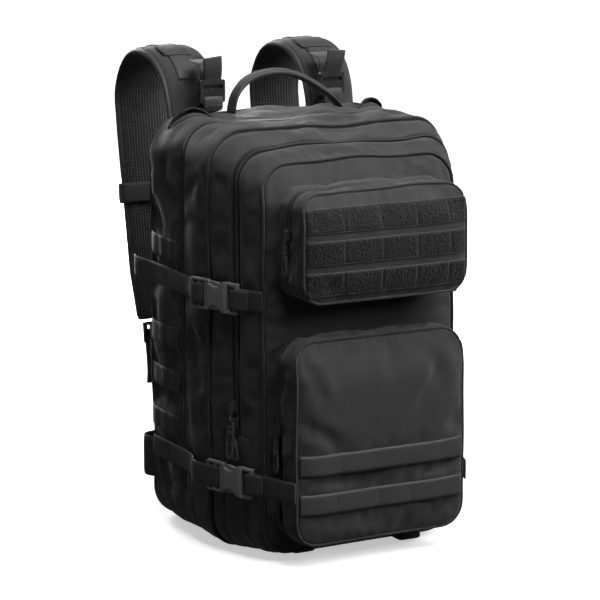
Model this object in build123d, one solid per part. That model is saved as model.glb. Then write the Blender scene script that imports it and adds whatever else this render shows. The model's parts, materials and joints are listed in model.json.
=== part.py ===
from build123d import *
import os
from math import hypot, pi, radians, tan

# A three-compartment load-bearing backpack, standing on its base. Millimetres, +Z up.
# The pockets face -Y, the back panel and the shoulder straps +Y, and the wearer's own
# left-hand side is -X. The origin is on the base, 4 mm behind the seam between the main
# and second compartments.
# Every compartment is a fabric shell cut in two along its zip, so that it opens.

# ---- driving dimensions -------------------------------------------------------------

WALL = 2.5                    # lined and foam-backed fabric
SEAM = 0.3                    # half of the gap between two pieces that part at a zip
BACK = 152.0                  # the back panel's outer face

# An outline is (y, width, low, high, corner radius).
MAIN_REAR = (BACK, 316.0, 0.0, 500.0, 42.0)
MAIN_FRONT = (-4.0, 316.0, 0.0, 500.0, 42.0)
SECOND_FRONT = (-88.0, 253.0, 9.0, 469.0, 34.0)
UPPER_REAR = (-88.0, 215.0, 315.0, 443.0, 24.0)
UPPER_FRONT = (-152.0, 215.0, 315.0, 443.0, 24.0)
LOWER_REAR = (-88.0, 225.0, 29.0, 269.0, 28.0)
LOWER_FRONT = (-142.0, 225.0, 29.0, 269.0, 28.0)

# A zip is (its plane's y, the height where it ends at each side).
MAIN_ZIP = (64.0, 60.0)
SECOND_ZIP = (-46.0, 148.0)
UPPER_ZIP = (-112.0, 372.0)
LOWER_ZIP = (-98.0, 152.0)
ZIP_SLOT = 4.0                # bare tape showing each side of the teeth
TAPE = 0.9
TEETH = 2.0

WEBBING = 25.0                # width of the common webbing
BELT = 50.0                   # width of the waist belt
THICK = 1.6                   # thickness of all webbing
CORD = 2.6                    # diameter of the zip pulls' cord
TAB_OUT = 4.2                 # how far a slider's tab stands off the fabric
PAIRED_LIFT = 3.6             # extra height of the tab that lies over a second slider

BUCKLE_WIDTH = 36.0           # 25 mm side-release buckle
BUCKLE_THICK = 9.0

UPPER_STRAP_Z = 311.0         # middle of each compression strap
LOWER_STRAP_Z = 96.0

STRAP_X = 95.0                # middle of each shoulder strap
STRAP_WIDTH = 66.0
STRAP_THICK = 12.0

os.makedirs("parts", exist_ok=True)


def save(name, *solids):
    """Write one or more solids as the piece called name."""
    solids = [s for group in solids for s in group.solids()]
    piece = solids[0] if len(solids) == 1 else Compound(children=solids)
    export_step(piece, f"parts/{name}.step")


def mirror_x(shape):
    return mirror(shape, about=Plane.YZ)


def at(x, y, z, shape):
    return Pos(x, y, z) * shape


# ---- shells -------------------------------------------------------------------------

def between(rear, front, y):
    """The outline at depth y on the straight taper from rear to front."""
    t = (y - rear[0]) / (front[0] - rear[0])
    return (y,) + tuple(a + t * (b - a) for a, b in zip(rear[1:], front[1:]))


def face_of(outline, inset):
    y, width, low, high, radius = outline
    plane = Plane(origin=(0, y, (low + high) / 2), x_dir=(1, 0, 0), z_dir=(0, -1, 0))
    sketch = plane * RectangleRounded(width - 2 * inset, high - low - 2 * inset, radius - inset)
    return sketch.face()


def block(rear, front, y_rear, y_front, inset=0.0):
    """The solid inside the taper from rear to front, between two depths."""
    faces = [face_of(between(rear, front, y), inset) for y in (y_rear, y_front)]
    return loft(faces, ruled=True)


def ring(rear, front, y_rear, y_front, outer=0.0, inner=WALL):
    """The wall of the taper, open at both ends."""
    solid = block(rear, front, y_rear, y_front, outer)
    return solid - block(rear, front, y_rear + 1, y_front - 1, inner)


def cup(rear, front, y_rear, y_front):
    """The wall of the taper, closed at the front."""
    return block(rear, front, y_rear, y_front) - block(rear, front, y_rear + 1, y_front + WALL, WALL)


def slab(y_low, y_high, z_low, z_high):
    """A very wide block, used to cut a shell."""
    return at(0, (y_low + y_high) / 2, (z_low + z_high) / 2, Box(800, y_high - y_low, z_high - z_low))


def slot(zip_line, side):
    """The strip that a zip's teeth show through, on its rear (+1) or front (-1) side."""
    y, low = zip_line
    ends = sorted((y - side, y + side * ZIP_SLOT))
    return slab(*ends, low, 600)


def zip_half(rear, front, zip_line, side, tape_width=11.0):
    """One half of a zip: its tape inside the wall, with its row of teeth at the edge."""
    y, low = zip_line
    near = y + side * 0.25
    tape = sorted((near, y + side * tape_width), reverse=True)
    teeth = sorted((near, y + side * TEETH), reverse=True)
    half = ring(rear, front, *tape, WALL, WALL + TAPE) + ring(rear, front, *teeth, 0.4, WALL + TAPE)
    return half & slab(y - 40, y + 40, low, 600)


main_y = MAIN_ZIP[0]
second_y = SECOND_ZIP[0]
upper_y = UPPER_ZIP[0]
lower_y, lower_low = LOWER_ZIP

# The rear half of the main compartment, its back panel and what stiffens it.
rear_shell = ring(MAIN_REAR, MAIN_FRONT, BACK - WALL, main_y + SEAM) - slot(MAIN_ZIP, 1)
save("rear_shell", rear_shell)
save("back_panel", block(MAIN_REAR, MAIN_FRONT, BACK, BACK - WALL))

SHEET_WIDTH, SHEET_HEIGHT, SHEET_THICK = 250.0, 430.0, 1.5
sheet_y = BACK - WALL - SHEET_THICK / 2
save("frame_sheet", at(0, sheet_y, 245, Box(SHEET_WIDTH, SHEET_THICK, SHEET_HEIGHT)))

# A flat sleeve for a water bladder stands against the frame sheet, open at its top.
SLEEVE_WIDTH, SLEEVE_DEPTH, SLEEVE_HEIGHT, SLEEVE_WALL = 230.0, 16.0, 330.0, 1.2
sleeve_y = BACK - WALL - SHEET_THICK - SLEEVE_DEPTH / 2
sleeve = at(0, sleeve_y, 30 + SLEEVE_HEIGHT / 2, Box(SLEEVE_WIDTH, SLEEVE_DEPTH, SLEEVE_HEIGHT))
sleeve_room = Box(SLEEVE_WIDTH - 2 * SLEEVE_WALL, SLEEVE_DEPTH - 2 * SLEEVE_WALL, SLEEVE_HEIGHT)
save("hydration_sleeve", sleeve - at(0, sleeve_y, 30 + SLEEVE_HEIGHT / 2 + SLEEVE_WALL, sleeve_room))

# The front half of the main compartment carries the rear gusset of the second one.
main_shell = cup(MAIN_REAR, MAIN_FRONT, main_y - SEAM, -4) - slot(MAIN_ZIP, -1)
save("main_front_shell", main_shell)
second_gusset = ring(MAIN_FRONT, SECOND_FRONT, -4, second_y + SEAM) - slot(SECOND_ZIP, 1)
save("second_rear_gusset", second_gusset)

# A zipped mesh pocket lies on the inner face of the main front.
MESH_WIDTH, MESH_HEIGHT = 240.0, 170.0
mesh_y = -4 + WALL + 2.0
mesh_pocket = at(0, mesh_y, 330, Box(MESH_WIDTH, 4.0, MESH_HEIGHT))
save("inner_mesh_pocket", fillet(mesh_pocket.edges().filter_by(Axis.Y), 14))

# The front of the second compartment, and the organiser sewn to its inner face.
second_shell = cup(MAIN_FRONT, SECOND_FRONT, second_y - SEAM, -88) - slot(SECOND_ZIP, -1)
save("second_front_shell", second_shell)
ORGANISER_WIDTH, ORGANISER_HEIGHT = 200.0, 150.0
organiser = at(0, -88 + WALL + 2.5, 250, Box(ORGANISER_WIDTH, 5.0, ORGANISER_HEIGHT))
for x in (-52, 0, 52):
    organiser -= at(x, -88 + WALL + 5.0, 262, Box(44, 3.0, ORGANISER_HEIGHT))
save("organiser_panel", organiser)

# The upper pocket: a shallow base ring and a front that opens from the bottom edge.
upper_base = ring(UPPER_REAR, UPPER_FRONT, -88, upper_y + SEAM) - slot(UPPER_ZIP, 1)
save("upper_pocket_base", upper_base)
upper_front = cup(UPPER_REAR, UPPER_FRONT, upper_y - SEAM, -152) - slot(UPPER_ZIP, -1)
save("upper_pocket_front", upper_front)

# The lower pocket: a fixed tub, and a flap that folds forwards above the zip's ends.
lower_cup = cup(LOWER_REAR, LOWER_FRONT, -88, -142)
above = slab(-200, lower_y, lower_low - SEAM, 300)
lower_base = lower_cup - above - slot(LOWER_ZIP, 1)
save("lower_pocket_base", lower_base)
flap = lower_cup & slab(-200, lower_y - SEAM, lower_low + SEAM, 300)
save("lower_pocket_flap", flap - slot(LOWER_ZIP, -1))

# ---- zips ---------------------------------------------------------------------------

save("main_zip_rear", zip_half(MAIN_REAR, MAIN_FRONT, MAIN_ZIP, 1))
save("front_zips", zip_half(MAIN_REAR, MAIN_FRONT, MAIN_ZIP, -1),
     zip_half(MAIN_FRONT, SECOND_FRONT, SECOND_ZIP, 1))
save("second_zip_front", zip_half(MAIN_FRONT, SECOND_FRONT, SECOND_ZIP, -1))
save("pocket_zips", zip_half(UPPER_REAR, UPPER_FRONT, UPPER_ZIP, 1),
     zip_half(LOWER_REAR, LOWER_FRONT, LOWER_ZIP, 1, tape_width=8.0))
save("upper_zip_front", zip_half(UPPER_REAR, UPPER_FRONT, UPPER_ZIP, -1))
flap_zip = zip_half(LOWER_REAR, LOWER_FRONT, LOWER_ZIP, -1)
save("lower_zip_front", flap_zip & slab(-200, 0, lower_low + SEAM, 300))


def side_frame(rear, front, y, z, side):
    """A plane on a compartment's side: x along the zip, downwards, z out of the fabric."""
    width = between(rear, front, y)[1]
    slope = (front[1] - rear[1]) / 2 / (front[0] - rear[0])
    out = Vector(side, -slope, 0).normalized()
    return Plane(origin=(side * width / 2, y, z), x_dir=(0, 0, -1), z_dir=out)


def slider(frame, lift):
    """A zip slider: crowned body, bridge and a short tab, raised by lift, with the cord's hole."""
    body = Pos(0, 0, 1.7) * Box(13, 8.4, 2.4)
    body = fillet(body.edges().filter_by(Axis.Z), 2.2)
    bridge = Pos(0, 0, 3.9 + lift / 2) * Box(9, 2.4, 2.2 + lift)
    tab = Pos(8.5, 0, TAB_OUT + lift) * Box(12, 5.0, 1.4)
    tab -= Pos(12.0, 0, TAB_OUT + lift) * Cylinder(1.5, 4)
    return frame * (body + bridge + tab)


def fillet_radii(points):
    """The largest arcs that a route's runs allow, one for each of its corners."""
    radii = []
    for a, b, c in zip(points, points[1:], points[2:]):
        first, second = Vector(*b) - Vector(*a), Vector(*c) - Vector(*b)
        turn = radians(first.get_angle(second))
        radii.append(0.45 * min(first.length, second.length) / tan(turn / 2))
    return radii


def cord(name, frame, points):
    """A loop of cord on a zip's tab, along points in the frame of its slider."""
    route = [tuple(frame.from_local_coords(Vector(*p))) for p in points]
    radii = fillet_radii(route)
    line = FilletPolyline(*route, radius=radii)
    section = Plane(origin=line @ 0, z_dir=line % 0) * Circle(CORD / 2)
    tube = sweep(section, path=line)
    print(name, "length", round(line.length, 1), "radii", [round(r, 1) for r in radii],
          "volume ratio", round(tube.volume / (pi * CORD ** 2 / 4 * line.length), 3))
    save(name, tube)


def loop_route(drop, spread, lean, lift):
    """A hanging loop: down one leg, round a narrow foot and back up the other leg."""
    start, out = 16.6, TAB_OUT + lift
    half = [(0.00, 1.8, 0.0), (0.10, 1.9, 0.1), (0.25, 2.6, 0.2), (0.48, spread * 0.8, 0.4),
            (0.72, spread, 0.7), (0.88, spread * 0.85, 0.9), (0.97, spread * 0.4, 1.0)]
    down = [(start + drop * t, -across + lean * shift, out) for t, across, shift in half]
    up = [(start + drop * t, across + lean * shift, out) for t, across, shift in reversed(half)]
    return down + up


SLIDERS = {
    # name: (rear outline, front outline, zip, height, side, loop drop, spread, lean, lift)
    "main_upper": (MAIN_REAR, MAIN_FRONT, MAIN_ZIP, 446.0, 1, 56.0, 4.6, 2.0, PAIRED_LIFT),
    "main_lower": (MAIN_REAR, MAIN_FRONT, MAIN_ZIP, 426.0, 1, 50.0, 4.6, -2.0, 0.0),
    "second_upper": (MAIN_FRONT, SECOND_FRONT, SECOND_ZIP, 182.0, -1, 46.0, 4.4, -3.0, PAIRED_LIFT),
    "second_lower": (MAIN_FRONT, SECOND_FRONT, SECOND_ZIP, 162.0, -1, 28.0, 4.2, 3.0, 0.0),
    "upper_pocket": (UPPER_REAR, UPPER_FRONT, UPPER_ZIP, 392.0, -1, 32.0, 4.0, -1.5, 0.0),
    "lower_pocket": (LOWER_REAR, LOWER_FRONT, LOWER_ZIP, 162.0, -1, 34.0, 4.4, 2.0, 0.0),
}
for slider_name, (rear, front, zip_line, z, side, drop, spread, lean, lift) in SLIDERS.items():
    frame = side_frame(rear, front, zip_line[0], z, side)
    save(slider_name + "_slider", slider(frame, lift))
    cord(slider_name + "_pull", frame, loop_route(drop, spread, lean, lift))

# ---- webbing and buckles --------------------------------------------------------------


def band(points, thickness, width, z, radius=None):
    """A strip of webbing on edge: a path seen from above, standing width high about z."""
    path = FilletPolyline(*points, radius=radius) if radius else Polyline(*points)
    return Pos(0, 0, z - width / 2) * extrude(trace(path, thickness), amount=width, dir=(0, 0, 1))


def female_half(frame, width=BUCKLE_WIDTH, length=46.0, thick=BUCKLE_THICK):
    """The socket of a side-release buckle. Its mouth is at x = 0 and its bar at x = length."""
    body = Pos(length * 0.36, 0, 0) * Box(length * 0.72, width, thick)
    body = fillet(body.edges().filter_by(Axis.Z), 3.0)
    body -= Pos(length * 0.30, 0, 0) * Box(length * 0.62, width - 5.0, thick - 3.6)
    for side in (-1, 1):
        body -= Pos(length * 0.34, side * (width / 2 - 1), 0) * Box(length * 0.26, 7.0, thick + 1)
    end = Pos(length * 0.83, 0, 0) * Box(length * 0.34, width, thick * 0.62)
    end -= Pos(length * 0.80, 0, 0) * Box(length * 0.13, width - 8, thick)
    end = fillet(end.edges().filter_by(Axis.Z).group_by(Axis.X)[-1], 2.0)
    return frame * (body + end)


def male_half(frame, width=BUCKLE_WIDTH, length=28.0, thick=BUCKLE_THICK):
    """The plug of a side-release buckle: a ladder frame behind x = 0 and prongs before it."""
    plate = Pos(-length / 2, 0, 0) * Box(length, width, thick * 0.6)
    plate = fillet(plate.edges().filter_by(Axis.Z).group_by(Axis.X)[0], 3.0)
    for x in (-length * 0.36, -length * 0.74):
        plate -= Pos(x, 0, 0) * Box(length * 0.20, width - 8, thick)
    plug = thick - 3.6 - 0.8
    prongs = Pos(length * 0.30, 0, 0) * Box(length * 0.62, 5.0, plug)
    for side in (-1, 1):
        prongs += Pos(length * 0.38, side * (width / 2 - 5.6), 0) * Box(length * 0.78, 4.6, plug)
    return frame * (plate + prongs)


def chord_frame(start, end, z, along):
    """A buckle's frame on a strap from start to end, its joint line at distance along."""
    run = Vector(end[0] - start[0], end[1] - start[1], 0).normalized()
    side = 1 if start[0] > 0 else -1
    out = Vector(-run.Y, run.X, 0)
    if out.X * side < 0:
        out = -out
    origin = Vector(start[0], start[1], z) + run * along
    return Plane(origin=origin, x_dir=run, z_dir=out)


# A compression strap runs from the rear side, over the gussets, to a seam further forward.
UPPER_RUN = ((-169.5, 10.0), (-136.0, -86.0))
LOWER_RUN = ((-169.5, 10.0), (-120.0, -140.0))
UPPER_BUCKLE_AT = 28.0
LOWER_BUCKLE_AT = 52.0
MALE_LENGTH = 28.0            # of the plug's ladder frame, without its prongs
FEMALE_LENGTH = 46.0


def point_on(run, along, out=0.0):
    (x0, y0), (x1, y1) = run
    length = hypot(x1 - x0, y1 - y0)
    ux, uy = (x1 - x0) / length, (y1 - y0) / length
    return (x0 + ux * along + uy * out, y0 + uy * along - ux * out)


def strap_end_rear(run, buckle_at, z, tail):
    """The rear webbing: free tail, rear side panel, then round the plug's middle bar."""
    front_slot = buckle_at - MALE_LENGTH * 0.36
    points = [(-159.6, tail), (-159.6, 26.0), point_on(run, -2, 4.0), point_on(run, front_slot, 4.0),
              point_on(run, front_slot, -4.0), point_on(run, front_slot - 14, -4.0)]
    return band(points, THICK, WEBBING, z)


def strap_end_front(run, buckle_at, z, seam):
    """The front webbing: round the socket's bar and forwards to its seam."""
    slot_at = buckle_at + FEMALE_LENGTH * 0.80
    points = [point_on(run, slot_at + 22, -0.6), point_on(run, slot_at + 11, 4.4),
              point_on(run, slot_at, 4.4), point_on(run, slot_at, -4.2),
              point_on(run, slot_at + 11, -4.2), seam]
    return band(points, THICK, WEBBING, z)


def compression_webs(mirrored):
    upper = strap_end_rear(UPPER_RUN, UPPER_BUCKLE_AT, UPPER_STRAP_Z, 196.0)
    lower = strap_end_rear(LOWER_RUN, LOWER_BUCKLE_AT, LOWER_STRAP_Z, 140.0)
    return [mirror_x(w) if mirrored else w for w in (upper, lower)]


save("rear_compression_webs", *compression_webs(False), *compression_webs(True))
upper_web = strap_end_front(UPPER_RUN, UPPER_BUCKLE_AT, UPPER_STRAP_Z, (-128.4, -87.0))
lower_web = strap_end_front(LOWER_RUN, LOWER_BUCKLE_AT, LOWER_STRAP_Z, (-113.6, -141.0))
save("front_compression_webs", upper_web, mirror_x(upper_web), lower_web, mirror_x(lower_web))

females = []
for level, run, along, z in (("upper", UPPER_RUN, UPPER_BUCKLE_AT, UPPER_STRAP_Z),
                             ("lower", LOWER_RUN, LOWER_BUCKLE_AT, LOWER_STRAP_Z)):
    frame = chord_frame(*run, z, along)
    plug = male_half(frame, length=MALE_LENGTH)
    females += [female_half(frame, length=FEMALE_LENGTH)]
    save(f"{level}_left_buckle_plug", plug)
    save(f"{level}_right_buckle_plug", mirror_x(plug))
    print(level, "plug slides along", [round(-v, 4) for v in frame.x_dir])
save("compression_sockets", *females, *[mirror_x(f) for f in females])

# Rows of webbing sewn in ladders: both rear sides, and the front of the lower pocket.
side_rows = []
for z in (347.0, 240.0, 186.0, 132.0):
    row = at(-158 - THICK / 2, 111, z, Box(THICK, 76, WEBBING))
    side_rows += [row, mirror_x(row)]
save("side_ladder_webbing", *side_rows)
rows = [at(0, -142 - THICK / 2, z, Box(221, THICK, WEBBING)) for z in (126.0, 80.0)]
save("lower_ladder_webbing", *rows)
rows = [at(0, -152 - 1.1, z, Box(211, 2.2, 26)) for z in (411.5, 375.0, 338.5)]
save("upper_loop_webbing", *rows)

# ---- top: grab handle and tube ports ----------------------------------------------------

# The handle swings about a line through its two feet, which are round so that they roll.
HANDLE_Y, HANDLE_WIDTH, HANDLE_THICK = 100.0, 22.0, 7.0
HANDLE_PIVOT = 511.7
arch = [(-73, 500.6), (-68, 526), (-52, 543), (-24, 550), (8, 548), (42, 531), (73, 500.6)]
arch_line = Spline(*[(x, 0, z) for x, z in arch])
arch_plane = Plane(origin=arch_line @ 0, x_dir=(0, 1, 0), z_dir=arch_line % 0)
arch_section = arch_plane * RectangleRounded(HANDLE_WIDTH, HANDLE_THICK, 3.0)
handle = sweep(arch_section, path=arch_line)
feet = at(0, 0, HANDLE_PIVOT, Rot(0, 90, 0) * Cylinder(HANDLE_WIDTH / 2, 400))
handle = (handle & at(0, 0, HANDLE_PIVOT + 100, Box(400, 400, 200))) + (handle & feet)
save("grab_handle", at(0, HANDLE_Y, 0, handle))

port = at(-126, 96, 488, Rot(0, -38, 24) * (Box(54, 15, 2.2) + Pos(0, 6, 3) * Box(54, 3, 8)))
port -= block(MAIN_REAR, MAIN_FRONT, BACK + 5, -10)
save("tube_ports", port, mirror_x(port))

# ---- harness ----------------------------------------------------------------------------

# Each shoulder strap rises from the back panel, arches over and hangs behind it.
STRAP_ROUTE = [(160.0, 420.0), (160.5, 505.0), (182.0, 549.0), (228.0, 568.0), (280.0, 560.0),
               (315.0, 515.0), (309.0, 470.0), (281.0, 270.0), (276.0, 226.0)]


def upright_band(points, x, width, thickness, radii):
    """A strip whose path lies in a plane of constant x, width across that plane."""
    path = FilletPolyline(*points, radius=radii)
    strip = extrude(trace(path, thickness), amount=width / 2, both=True, dir=(0, 0, 1))
    # The path is drawn as (y, z); turn it to stand in the YZ plane.
    return at(x, 0, 0, Plane(origin=(0, 0, 0), x_dir=(0, 1, 0), z_dir=(1, 0, 0)) * strip)


strap_radii = [min(r, 60.0) for r in fillet_radii([(y, z, 0) for y, z in STRAP_ROUTE])]
strap = upright_band(STRAP_ROUTE, -STRAP_X, STRAP_WIDTH, STRAP_THICK, strap_radii)
save("shoulder_strap_left", strap)
save("shoulder_strap_right", mirror_x(strap))

# The straight stretch of a strap, where the chest strap's loops slide.
run_low, run_high = Vector(0, 281.0, 270.0), Vector(0, 309.0, 470.0)
run_up = (run_high - run_low).normalized()
CHEST_UP = 112.0              # how far up that stretch the chest strap rests
chest = Plane(origin=run_low + run_up * CHEST_UP, x_dir=(1, 0, 0), z_dir=run_up)
loop_outer = Box(STRAP_WIDTH + 8, STRAP_THICK + 8, WEBBING)
loop = loop_outer - Box(STRAP_WIDTH + 4.8, STRAP_THICK + 4.8, WEBBING + 2)
loops = [Pos(side * STRAP_X, 0, 0) * loop for side in (-1, 1)]
chest_y = STRAP_THICK / 2 + 4 + 3.2
left_web = Pos(-40.5, chest_y - 2.4, 0) * Box(62, THICK, WEBBING)
right_web = Pos(50, chest_y - 2.4, 0) * Box(42, THICK, WEBBING)
foot = Pos(-68, chest_y - 2.4 - 0.4, 0) * Box(8, THICK + 0.8, WEBBING)
right_foot = Pos(68, chest_y - 2.4 - 0.4, 0) * Box(8, THICK + 0.8, WEBBING)
save("chest_strap", chest * (loops[0] + left_web + foot), chest * (loops[1] + right_web + right_foot))
chest_buckle = Plane(origin=(0, chest_y + 3.6, 0), x_dir=(-1, 0, 0), z_dir=(0, 1, 0))
save("chest_buckle_socket", chest * female_half(chest_buckle, 34.0, 40.0, 8.0))
save("chest_buckle_plug", chest * male_half(chest_buckle, 34.0, 24.0, 8.0))
print("chest strap slides along", [round(v, 4) for v in run_up])

# Load lifters: a web from the top seam, through a ladder lock, to the strap above.
LOCK_X = 82.0
LOCK_Y, LOCK_Z = 134.0, 526.0


def ladder_lock(tab=True):
    """A ladder lock in its own plane: x across, y up, z out, with a lifting tab."""
    lock = Box(33, 28, 6.5)
    lock = fillet(lock.edges().filter_by(Axis.Z), 3.0)
    for y in (-7.2, 5.6):
        lock -= Pos(0, y, 0) * Box(26, 4.4, 10)
    if tab:
        lock += Pos(0, 17, 1.6) * Box(22, 8, 2.4)
    return lock


lock_plane = Plane(origin=(-LOCK_X, LOCK_Y, LOCK_Z), x_dir=(1, 0, 0), z_dir=(0, -1, 0))
lifter_lock = lock_plane * ladder_lock()
save("lifter_lock_left", lifter_lock)
save("lifter_lock_right", mirror_x(lifter_lock))


def flat_strip(points, x, width=WEBBING, thickness=THICK):
    """Webbing whose path lies in a plane of constant x, without rounded corners."""
    strip = extrude(trace(Polyline(*points), thickness), amount=width / 2, both=True, dir=(0, 0, 1))
    return at(x, 0, 0, Plane(origin=(0, 0, 0), x_dir=(0, 1, 0), z_dir=(1, 0, 0)) * strip)


lifter_web = flat_strip([(143, 501.0), (129.4, 503.0), (129.4, 518.8), (139.4, 518.8), (140.2, 546),
                         (143.0, 566)], -LOCK_X)
lifter_anchor = flat_strip([(138.8, 516), (139.4, 510.5), (153.6, 506.5)], -LOCK_X)
save("lifter_webs", lifter_web, mirror_x(lifter_web), lifter_anchor, mirror_x(lifter_anchor))

# Adjusters at the straps' lower ends, and the webs from them to the base corners.
LOWER_LOCK = Vector(-STRAP_X, 273.0, 204.0)
lower_plane = Plane(origin=LOWER_LOCK, x_dir=(1, 0, 0), z_dir=(0, 1, -0.14))
lower_lock = lower_plane * ladder_lock(tab=False)
save("strap_lock_left", lower_lock)
save("strap_lock_right", mirror_x(lower_lock))


def straight_strip(start, end, width, thickness, across=(1, 0, 0)):
    """A flat web from start to end; its width lies along across as nearly as it can."""
    start, end = Vector(*start), Vector(*end)
    along = (end - start).normalized()
    normal = Vector(*across).cross(along).normalized()
    plane = Plane(origin=(start + end) * 0.5, x_dir=along, z_dir=normal)
    return plane * Box((end - start).length, width, thickness)


base_web = straight_strip((-97, 261.0, 203), (-140, 158.5, 118), WEBBING, THICK)
base_tail = straight_strip((-95, 278.6, 198), (-95, 272.0, 138), WEBBING, THICK)
save("strap_lower_webs", base_web, mirror_x(base_web), base_tail, mirror_x(base_tail))

# Foam pads with an air channel between them, on the back panel.
pads = []
for x, z, width, height in ((-64, 322, 104, 196), (64, 322, 104, 196), (0, 118, 232, 168)):
    pad = at(x, BACK + 4.0, z, Box(width, 8.0, height))
    pad = fillet(pad.edges().filter_by(Axis.Y), 22)
    pads.append(fillet(pad.faces().sort_by(Axis.Y)[-1].edges(), 3.5))
save("back_pads", *pads)

# The waist belt leaves the base corners and closes behind the lumbar pad.
BELT_Z = 74.0
BELT_Y = 190.0
belt_left = band([(-138, 153.2), (-153, 157), (-158, 178), (-146, BELT_Y), (-46, BELT_Y)],
                 2.0, BELT, BELT_Z)
save("belt_webs", belt_left, mirror_x(belt_left))
belt_frame = Plane(origin=(-6, BELT_Y + 5.6, BELT_Z), x_dir=(-1, 0, 0), z_dir=(0, 1, 0))
save("belt_buckle_socket", female_half(belt_frame, 64.0, 54.0, 12.0))
save("belt_buckle_plug", male_half(belt_frame, 64.0, 38.0, 12.0))
glide = Box(12, 6.5, 62) - Box(20, 3.4, 51.0)
glide = at(-118, BELT_Y, BELT_Z, glide)
save("belt_adjusters", glide, mirror_x(glide))

# Two lashing webs are sewn under the front edge of the base.
lash = flat_strip([(-52, 3.6), (-72, 3.4), (-90, 3.2), (-91.5, 8), (-89.6, 16)], -68.0)
save("base_lash_webs", lash, mirror_x(lash))
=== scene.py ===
# A black three-compartment backpack, standing on its base. Shapes are worked out in
# millimetres in the CAD frame and made in metres. The pockets face -Y, the harness +Y.
import json
import math

import bpy
import numpy as np
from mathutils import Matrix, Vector
from mathutils.bvhtree import BVHTree

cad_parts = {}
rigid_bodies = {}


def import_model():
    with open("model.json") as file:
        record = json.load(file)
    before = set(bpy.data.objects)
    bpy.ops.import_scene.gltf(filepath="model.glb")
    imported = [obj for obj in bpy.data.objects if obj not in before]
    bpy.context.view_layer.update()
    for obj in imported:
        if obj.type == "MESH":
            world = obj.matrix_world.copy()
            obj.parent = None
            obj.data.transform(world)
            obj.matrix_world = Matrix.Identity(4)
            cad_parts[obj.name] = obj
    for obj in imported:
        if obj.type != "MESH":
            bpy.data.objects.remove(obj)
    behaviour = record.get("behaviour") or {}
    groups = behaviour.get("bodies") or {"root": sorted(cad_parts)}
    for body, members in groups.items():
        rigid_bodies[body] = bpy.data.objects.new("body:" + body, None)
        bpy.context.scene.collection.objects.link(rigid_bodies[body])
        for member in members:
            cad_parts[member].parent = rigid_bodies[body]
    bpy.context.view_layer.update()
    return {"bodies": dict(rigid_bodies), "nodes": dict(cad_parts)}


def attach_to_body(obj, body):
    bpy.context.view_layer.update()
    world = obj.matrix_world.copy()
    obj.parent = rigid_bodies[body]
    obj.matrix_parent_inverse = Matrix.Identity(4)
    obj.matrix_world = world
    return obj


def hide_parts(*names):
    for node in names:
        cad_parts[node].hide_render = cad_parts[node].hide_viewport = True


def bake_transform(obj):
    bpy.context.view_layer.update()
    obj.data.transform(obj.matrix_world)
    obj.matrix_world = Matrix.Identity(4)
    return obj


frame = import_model()
scene = bpy.context.scene
MM = 0.001
rng = np.random.default_rng(11)

# ---- sizes shared with the CAD part ---------------------------------------------------

BACK = 152.0
# An outline is (y, width, low, high, corner radius).
MAIN_REAR = (BACK, 316.0, 0.0, 500.0, 42.0)
MAIN_FRONT = (-4.0, 316.0, 0.0, 500.0, 42.0)
SECOND_FRONT = (-88.0, 253.0, 9.0, 469.0, 34.0)
UPPER_REAR = (-88.0, 215.0, 315.0, 443.0, 24.0)
UPPER_FRONT = (-152.0, 215.0, 315.0, 443.0, 24.0)
LOWER_REAR = (-88.0, 225.0, 29.0, 269.0, 28.0)
LOWER_FRONT = (-142.0, 225.0, 29.0, 269.0, 28.0)
# A zip is (its plane's y, the height where it ends at each side).
MAIN_ZIP = (64.0, 60.0)
SECOND_ZIP = (-46.0, 148.0)
UPPER_ZIP = (-112.0, 372.0)
LOWER_ZIP = (-98.0, 152.0)
SLOT = 4.8
WEBBING = 25.0
THICK = 1.6
STRAP_X = 95.0

# ---- materials ------------------------------------------------------------------------


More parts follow.
